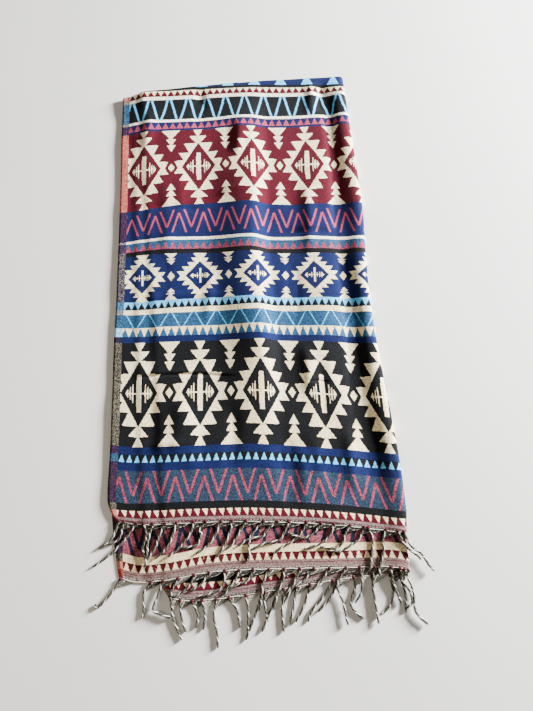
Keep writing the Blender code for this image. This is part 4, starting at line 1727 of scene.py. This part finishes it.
class CordPart(NamedTuple):
    """One line of a hem's cord: how far in from the edge, its lift, and how it is twisted."""

    inset: float
    lift: float
    ply: float
    slots: tuple[int, ...]


@dataclass
class Fringe:
    """One hem's twined cord, knots, gathered roots and twisted strands."""

    name: str
    node: str
    hem: Callable[[Array], Array]
    level: Heights
    below: Heights
    ends: Pair
    routes: Sequence[Table]
    finishes: Sequence[bpy.types.Material]
    gathered: tuple[Yarn, Yarn] = (Yarn.GATHERED, Yarn.GREY)
    cord_inset: float = 0.0008
    cord_parts: tuple[CordPart, ...] = (
        CordPart(0.0, 0.0001, 0.00048, (Yarn.WHITE, Yarn.WHITE)),
        CordPart(0.0024, 0.0002, 0.00026, (Yarn.WHITE, Yarn.GATHERED)),
    )
    cord_step: float = 0.0011
    cord_lay: float = 0.0046
    cord_core: float = 0.9
    cord_sway: Pair = (0.0003, 260.0)
    web: float = 0.0165
    web_span: Pair = (-0.12, 1.0)
    warps: int = 13
    warp_points: int = 7
    warp_radius: Pair = (0.00040, 0.00012)
    warp_sag: Pair = (0.0014, 0.0009)
    warp_sway: float = 0.0010
    warp_rates: Pair = (2.3, 1.7)
    warp_joins: tuple[int, int, int] = (4, 3, 6)
    warp_sides: int = 4
    warp_under: Pair = (0.0004, 0.0002)
    warp_clearance: float = 0.0006
    pale_warps: int = 9
    knot_radius: float = 0.0022
    knot_shape: Triple = (1.0, 1.15, 0.7)
    knot_lift: float = 0.0007
    strand: float = 0.00084
    strand_slots: tuple[Yarn, ...] = (Yarn.BLACK, Yarn.WHITE, Yarn.BLACK, Yarn.GREY)
    strand_ply: float = 0.95
    strand_sides: int = 6
    strand_turn: float = 1.7
    first_guess: float = 0.004
    rounds: int = 3
    root_out: float = 0.0002
    root_drop: float = 0.010
    floor_gap: float = 0.0001
    step: float = 0.0013
    least_steps: int = 8
    bridge: int = 4
    smooth: int = 3
    lay: float = 0.0155

    def height(self, heights: Heights, x: float, y: float) -> float:
        """Height of a surface at one place."""
        return float(heights(np.array(x), np.array(y)))

    def strand_route(self, picked: Table) -> Array:
        """Draws a strand over what lies below it.

        Args:
            picked: Places in the picture that the strand passes, from its root.

        Returns:
            Points of its middle line.
        """
        points = []
        for column, row in picked:
            height = self.first_guess
            for _ in range(self.rounds):
                x, y = VIEW.place(column, row, height)
                height = self.height(self.below, x, y) + 2 * self.strand
            points.append((x, y))
        x = points[0][0]
        y = float(self.hem(np.array(x))) + self.root_out
        points[0] = (x, y)
        return self.lay_down(np.array(points), self.height(self.level, x, y))

    def lay_down(self, points: Array, root: float) -> Array:
        """Lays a smooth line through points on what lies below it.

        Args:
            points: Places along X and Y, from the root.
            root: Height of the root.

        Returns:
            Points of the line, evenly spaced.
        """
        thick = 2 * self.strand
        far = travelled(points)
        fine = np.linspace(0.0, far[-1], max(int(far[-1] / self.step), self.least_steps))
        x, y = curve(far, points[:, 0], fine), curve(far, points[:, 1], fine)
        low = self.below(x, y) + thick
        padded = np.pad(low, self.bridge, mode="edge")
        high = np.max([padded[k:k + len(low)] for k in range(2 * self.bridge + 1)], axis=0)
        span = 2 * self.smooth + 1
        soft = np.convolve(np.pad(high, self.smooth, mode="edge"), np.ones(span) / span,
                           mode="valid")
        z = root + (soft - root) * ease(0.0, self.root_drop, fine)
        return np.stack([x, y, np.maximum(z, thick + self.floor_gap)], axis=1)

    def roots(self, mesh: bmesh.types.BMesh, route: Array, slot: int) -> None:
        """Gathers the warps from the hem into a strand.

        Args:
            mesh: The mesh that they go in.
            route: The strand's middle line.
            slot: The material slot of the gathered warps.
        """
        back, under = self.warp_under
        first, apart, span = self.warp_joins
        sway_rate, sag_rate = self.warp_rates
        s = np.linspace(0.0, 1.0, self.warp_points)
        arch = np.sin(math.pi * s)
        for k, aside in enumerate(np.linspace(*self.web_span, self.warps) * self.web):
            into = route[min(first + (apart * k) % span, len(route) - 1)]
            x = float(np.clip(route[0, 0] + aside, *self.ends))
            y = float(self.hem(np.array(x))) - back
            start = np.array([x, y, self.height(self.level, x, y) - under])
            line = start + (into - start) * s[:, None]
            line[:, 0] += (self.warp_sway * math.sin(k * sway_rate)) * arch
            line[:, 1] -= (self.warp_sag[0] + self.warp_sag[1] * math.sin(k * sag_rate)) * arch
            floor = self.below(line[:, 0], line[:, 1]) + self.warp_clearance
            line[:, 2] = np.maximum(line[:, 2], floor)
            pale = (k * 5 + slot) % self.pale_warps == 0
            radius = self.warp_radius[0] + self.warp_radius[1] * (k % 3)
            tube(mesh, line, np.full(self.warp_points, radius), self.warp_sides,
                 Yarn.WHITE if pale else slot)

    def knot(self, mesh: bmesh.types.BMesh, place: Array) -> None:
        """Adds a small knot on the hem.

        Args:
            mesh: The mesh that it goes in.
            place: The root of its strand.
        """
        made = bmesh.ops.create_icosphere(mesh, subdivisions=2, radius=self.knot_radius)["verts"]
        bmesh.ops.scale(mesh, vec=self.knot_shape, verts=made)
        shift = (place[0] - DRAPE.centre[0], place[1] - DRAPE.centre[1],
                 place[2] + self.knot_lift)
        bmesh.ops.translate(mesh, vec=shift, verts=made)
        for face in {face for vertex in made for face in vertex.link_faces}:
            face.material_index = Yarn.KNOT
            face.smooth = True

    def cord(self, mesh: bmesh.types.BMesh) -> None:
        """Adds the pale twined cord along the hem.

        Args:
            mesh: The mesh that it goes in.
        """
        x = np.arange(*self.ends, self.cord_step)
        sway = self.cord_sway[0] * np.sin(x * self.cord_sway[1])
        for part in self.cord_parts:
            y = self.hem(x) + self.cord_inset + part.inset + sway
            z = self.level(x, y) + part.lift
            Twist(self.cord_core * part.ply, part.ply, self.cord_lay, part.slots).wind(
                mesh, np.stack([x, y, z], axis=1))

    def build(self) -> bpy.types.Object:
        """Makes the fringe of one hem.

        Returns:
            The piece.
        """
        mesh = new_mesh()
        self.cord(mesh)
        twist = Twist(self.strand, self.strand_ply * self.strand, self.lay, self.strand_slots,
                      self.strand_sides)
        for k, picked in enumerate(self.routes):
            route = self.strand_route(picked)
            self.roots(mesh, route, self.gathered[int(k % 3 == 0)])
            self.knot(mesh, route[0])
            twist.wind(mesh, route, self.strand_turn * k)
        return finish_piece(self.name, mesh, self.finishes, [self.node])


FIRST_ROUTES = (
    ((119, 522), (112, 538), (98, 549)), ((124, 524), (118, 540), (103, 545)),
    ((136.4, 525), (127.6, 536), (120, 545), (110, 555), (93, 567)),
    ((143.7, 524), (146.7, 536), (143, 548), (146, 561)),
    ((152.8, 524), (148, 541), (146.7, 558), (145, 568)),
    ((165, 524), (159, 536), (155, 548), (147, 560)),
    ((176.5, 523), (170, 542), (163.6, 551), (155, 559)),
    ((193.4, 523), (191, 532), (179, 548), (168, 557)),
    ((205.6, 522), (199, 531), (201, 534), (196.5, 545), (181, 548)),
    ((221, 523), (215.6, 534), (208, 545), (196, 554)),
    ((232, 525), (230, 532), (221, 551), (215.6, 558)),
    ((246, 525), (239, 533), (231.5, 545), (224.6, 550)),
    ((263.6, 524), (252, 534), (249, 542), (249, 560)),
    ((277.4, 525), (267, 530), (263, 536), (249, 539), (238, 546)),
    ((289, 525), (285, 531), (279, 540), (266, 543), (252, 549)),
    ((306.5, 526), (302, 532), (293, 541), (283.5, 546), (273.6, 554)),
    ((321, 525), (315.6, 531), (309.5, 536), (302.6, 538), (288, 533)),
    ((334, 526), (330, 535), (321, 543), (304, 549)),
    ((350, 526), (346, 532), (343, 542), (336, 548), (320, 547)),
    ((364, 526.5), (359.6, 538), (352.7, 544), (340, 551), (328.6, 551)),
    ((368, 526.5), (371.6, 534), (372.5, 546), (370, 570)),
    ((386, 531), (383, 539), (383.7, 550), (379.4, 570), (380, 576)),
    ((398, 534), (402.6, 541), (410, 550), (419, 557), (420.7, 560)),
    ((404, 536), (411, 546), (421.6, 554), (429, 565), (434.5, 571)),
)
SECOND_ROUTES = (
    ((120.7, 578), (110, 595), (97, 608), (95, 604)),
    ((151, 583), (144, 593), (143.7, 610), (142, 618)),
    ((163, 582), (158, 595), (153, 610), (160, 614), (171, 618)),
    ((178, 580), (173.5, 587), (171, 597), (173, 610)),
    ((194, 578), (190, 585), (179, 594), (171, 597)), ((209, 578), (200, 585), (190, 591)),
    ((225, 577), (222.5, 586), (212, 593), (198, 597)), ((239, 576), (234.5, 581), (224, 591)),
    ((253, 575), (248, 580), (234, 586), (224, 594)),
    ((269, 574), (263, 583), (262, 591), (260, 610)),
    ((284, 573), (283, 581), (278, 591), (273.6, 610)),
    ((300, 572), (295, 581), (288, 595), (283, 604)),
    ((314, 573), (303, 581), (294, 586), (285, 593)), ((329.5, 573), (320, 582), (312, 590)),
    ((346, 571), (337, 585), (343, 602), (348, 625)),
    ((360, 571), (362, 579), (361, 593), (355, 603)),
    ((375, 571), (373, 582), (375, 600), (379, 624)), ((391, 571), (393, 582), (402, 604)),
    ((400, 572), (403, 582), (409.5, 591), (412, 603), (407, 608)),
    ((404, 573), (413, 591), (416, 612), (428.5, 625)),
)
THIRD_ROUTES = (
    ((171, 602), (173, 618), (182, 640)), ((180, 604), (182, 620), (186, 632)),
    ((192, 604), (198, 616), (196, 628)), ((202, 604), (205, 617), (203, 630)),
    ((216, 603), (214, 618), (217, 632), (218, 648)),
    ((229, 601), (237, 610), (240, 628)), ((246, 598), (248, 610), (248, 634)),
    ((262, 596), (257, 610), (252, 624), (246, 640)), ((265, 596), (265, 606), (268, 622)),
    ((278, 594), (270, 612), (262, 632)), ((283.5, 593), (282, 610), (284, 632)),
    ((296.5, 591), (293, 610), (290, 625)), ((310, 589), (304, 606), (296, 622)),
    ((333, 586), (323, 597), (312, 611), (308, 622)), ((338, 585), (330, 598), (318, 612)),
    ((354, 582), (355, 588), (351, 600), (352, 608), (364, 619)),
    ((372, 580), (374, 596), (378, 618)), ((390, 578), (393, 591), (391, 604), (381, 615)),
    ((399, 577), (405, 592), (406, 612)),
)


@dataclass
class HiddenFringe:
    """The fringe of the lowest hem, which lies straight under the others."""

    finishes: Sequence[bpy.types.Material]
    count: int = 15
    first: float = -0.108
    spacing: float = 0.020
    length: float = 0.042
    height: float = 0.00085
    points: int = 28
    lean: float = 0.003
    sway: Pair = (0.0015, 1.9)
    root_out: float = 0.002
    cord_span: Triple = (-0.116, 0.176, 0.0015)
    cord_out: float = 0.0012
    cord: Twist = Twist(0.0003, 0.00042, 0.0042, (Yarn.WHITE, Yarn.WHITE))
    strand: Twist = Twist(0.00036, 0.00040, 0.008, (Yarn.BLACK, Yarn.WHITE, Yarn.GREY))
    strand_turn: float = 1.3

    def build(self) -> bpy.types.Object:
        """Makes the strands and their cord.

        Returns:
            The piece.
        """
        mesh = new_mesh()
        x = np.arange(*self.cord_span)
        y = DRAPE.layer4_y(x, 0.0) - self.cord_out
        self.cord.wind(mesh, np.stack([x, y, np.full_like(x, self.height)], axis=1))
        s = np.linspace(0.0, 1.0, self.points)
        for k in range(self.count):
            root = self.first + self.spacing * k
            sway = self.sway[0] * math.sin(k * self.sway[1]) * np.sin(math.pi * s)
            x = root - self.lean * s + sway
            y = DRAPE.layer4_y(np.full_like(s, root), 0.0) - self.root_out - self.length * s
            self.strand.wind(mesh, np.stack([x, y, np.full_like(s, self.height)], axis=1),
                             self.strand_turn * k)
        return finish_piece("fringe_fourth", mesh, self.finishes,
                            ["fringe_fourth_hem"])


@dataclass
class Resting:
    """The upper surfaces that strands lie on."""

    side: float = 0.012
    front: Pair = (-0.016, -0.006)
    crossing_height: float = 0.0018
    crossing: Pair = (-0.150, -0.138)

    def inside(self, left: Table, hem: Table, x: Array, y: Array) -> Array:
        """Tells where a layer lies.

        Args:
            left: The layer's selvedge.
            hem: Its hem.
            x: Places along X.
            y: Places along Y.

        Returns:
            1 on the layer, falling to 0 a little past its edges.
        """
        aside = ease(-self.side, 0.0, x - DRAPE.along(left, y))
        return aside * ease(*self.front, y - DRAPE.along(hem, x))

    def floor(self, x: Array, y: Array) -> Array:
        """The floor."""
        return np.zeros(np.shape(x))

    def over_third(self, x: Array, y: Array) -> Array:
        """Works out the height of layer 3, and of the third fringe and the floor beside it.

        Args:
            x: Places along X.
            y: Places along Y.

        Returns:
            The height of what a strand lies on.
        """
        inside = self.inside(DRAPE.layer3_left, DRAPE.hem3, x, y)
        top = DRAPE.layer3_height(x, y, 0.0) + DRAPE.wall / 2
        return np.maximum(top * inside, self.crossing_height * ease(*self.crossing, x))

    def over_second(self, x: Array, y: Array) -> Array:
        """Works out the height of layer 2, and of what shows past its hem and sides.

        Args:
            x: Places along X.
            y: Places along Y.

        Returns:
            The height of what a strand lies on.
        """
        inside = self.inside(DRAPE.layer2_left, DRAPE.hem2, x, y)
        inside = inside * ease(self.side, 0.0, x - DRAPE.inner_fold_at_hem)
        top = DRAPE.inner_top_height(x, y) + DRAPE.wall / 2
        return top * inside + self.over_third(x, y) * (1.0 - inside)


class Lamp(NamedTuple):
    """A soft square light: its place, its side in metres, its power in watts and its colour."""

    name: str
    place: Triple
    size: float
    power: float
    colour: Triple

    def build(self) -> None:
        """Adds the light, aimed at the shawl."""
        data = bpy.data.lights.new(self.name, "AREA")
        data.size = self.size
        data.energy = self.power
        data.color = self.colour
        lamp = add_object(self.name, data)
        lamp.location = self.place
        lamp.rotation_euler = (-Vector(self.place)).to_track_quat("-Z", "Y").to_euler()


@dataclass
class Studio:
    """The floor, the lights and the world."""

    floor_size: float = 2.5
    lamps: tuple[Lamp, ...] = (
        Lamp("key light", (2.12, 1.02, 0.60), 0.5, 740.0, (0.97, 0.985, 1.0)),
        Lamp("fill light", (-1.1, -0.5, 0.9), 1.0, 8.0, (1.0, 0.84, 0.62)),
    )
    world_colour: Paint = (1.0, 0.965, 0.92, 1.0)
    world_strength: float = 0.24

    def build(self) -> None:
        """Makes the floor, the lights and the world."""
        mesh = new_mesh()
        bmesh.ops.create_grid(mesh, x_segments=2, y_segments=2, size=self.floor_size)
        data = close_mesh("floor", mesh)
        data.materials.append(FloorFinish().make())
        floor = add_object("floor", data)
        for lamp in self.lamps:
            lamp.build()
        world = bpy.data.worlds.new("studio")
        world.use_nodes = True
        Graph(world.node_tree).fill(world.node_tree.nodes["Background"], {
            "Color": self.world_colour, "Strength": self.world_strength})
        bpy.context.scene.world = world


def main() -> None:
    """Builds the shawl, piece by piece, and its studio."""
    logging.basicConfig(level=logging.INFO, format="%(name)s: %(message)s")
    weave = Jacquard().build()
    face = WovenFinish(name="woven face", reverse=0.0).make(weave)
    reverse = WovenFinish(name="woven reverse", reverse=1.0).make(weave)
    twist = YarnTwist().build()
    tones = {Yarn.BLACK: ("black yarn", "121211", "3c3a35"),
             Yarn.WHITE: ("white yarn", "787060", "f2ecdd"),
             Yarn.GREY: ("grey yarn", "1d1c19", "757060"),
             Yarn.GATHERED: ("gathered warps", "12110f", "3a362c"),
             Yarn.KNOT: ("knot yarn", "22080d", "4c101d")}
    yarns = [YarnFinish(name=tones[yarn][0], dark=tones[yarn][1], light=tones[yarn][2]).make(twist)
             for yarn in Yarn]
    outer = OuterHalf((face, reverse)).build()
    inner = InnerHalf((reverse, face)).build()
    resting = Resting()
    top = DRAPE.wall / 2
    hems = (
        Fringe("fringe_first", "fringe_first_hem", DRAPE.hem1_y,
               lambda x, y: DRAPE.layer1_height(x, y, 0.0) + top, resting.over_second,
               (-0.1960, 0.1785), FIRST_ROUTES, yarns,
               gathered=(Yarn.GATHERED, Yarn.GATHERED), cord_inset=-0.0008),
        Fringe("fringe_second", "fringe_second_hem", lambda x: DRAPE.along(DRAPE.hem2, x),
               lambda x, y: DRAPE.inner_top_height(x, y) + top, resting.over_third,
               (-0.1850, 0.1800), SECOND_ROUTES, yarns),
        Fringe("fringe_third", "fringe_third_hem", lambda x: DRAPE.along(DRAPE.hem3, x),
               lambda x, y: DRAPE.layer3_height(x, y, 0.0) + top, resting.floor,
               (-0.1210, 0.1790), THIRD_ROUTES, yarns, gathered=(Yarn.GREY, Yarn.WHITE)),
    )
    first, second, third = [hem.build() for hem in hems]
    fourth = HiddenFringe(yarns).build()
    Studio().build()
    VIEW.build()


if __name__ == "__main__":
    main()
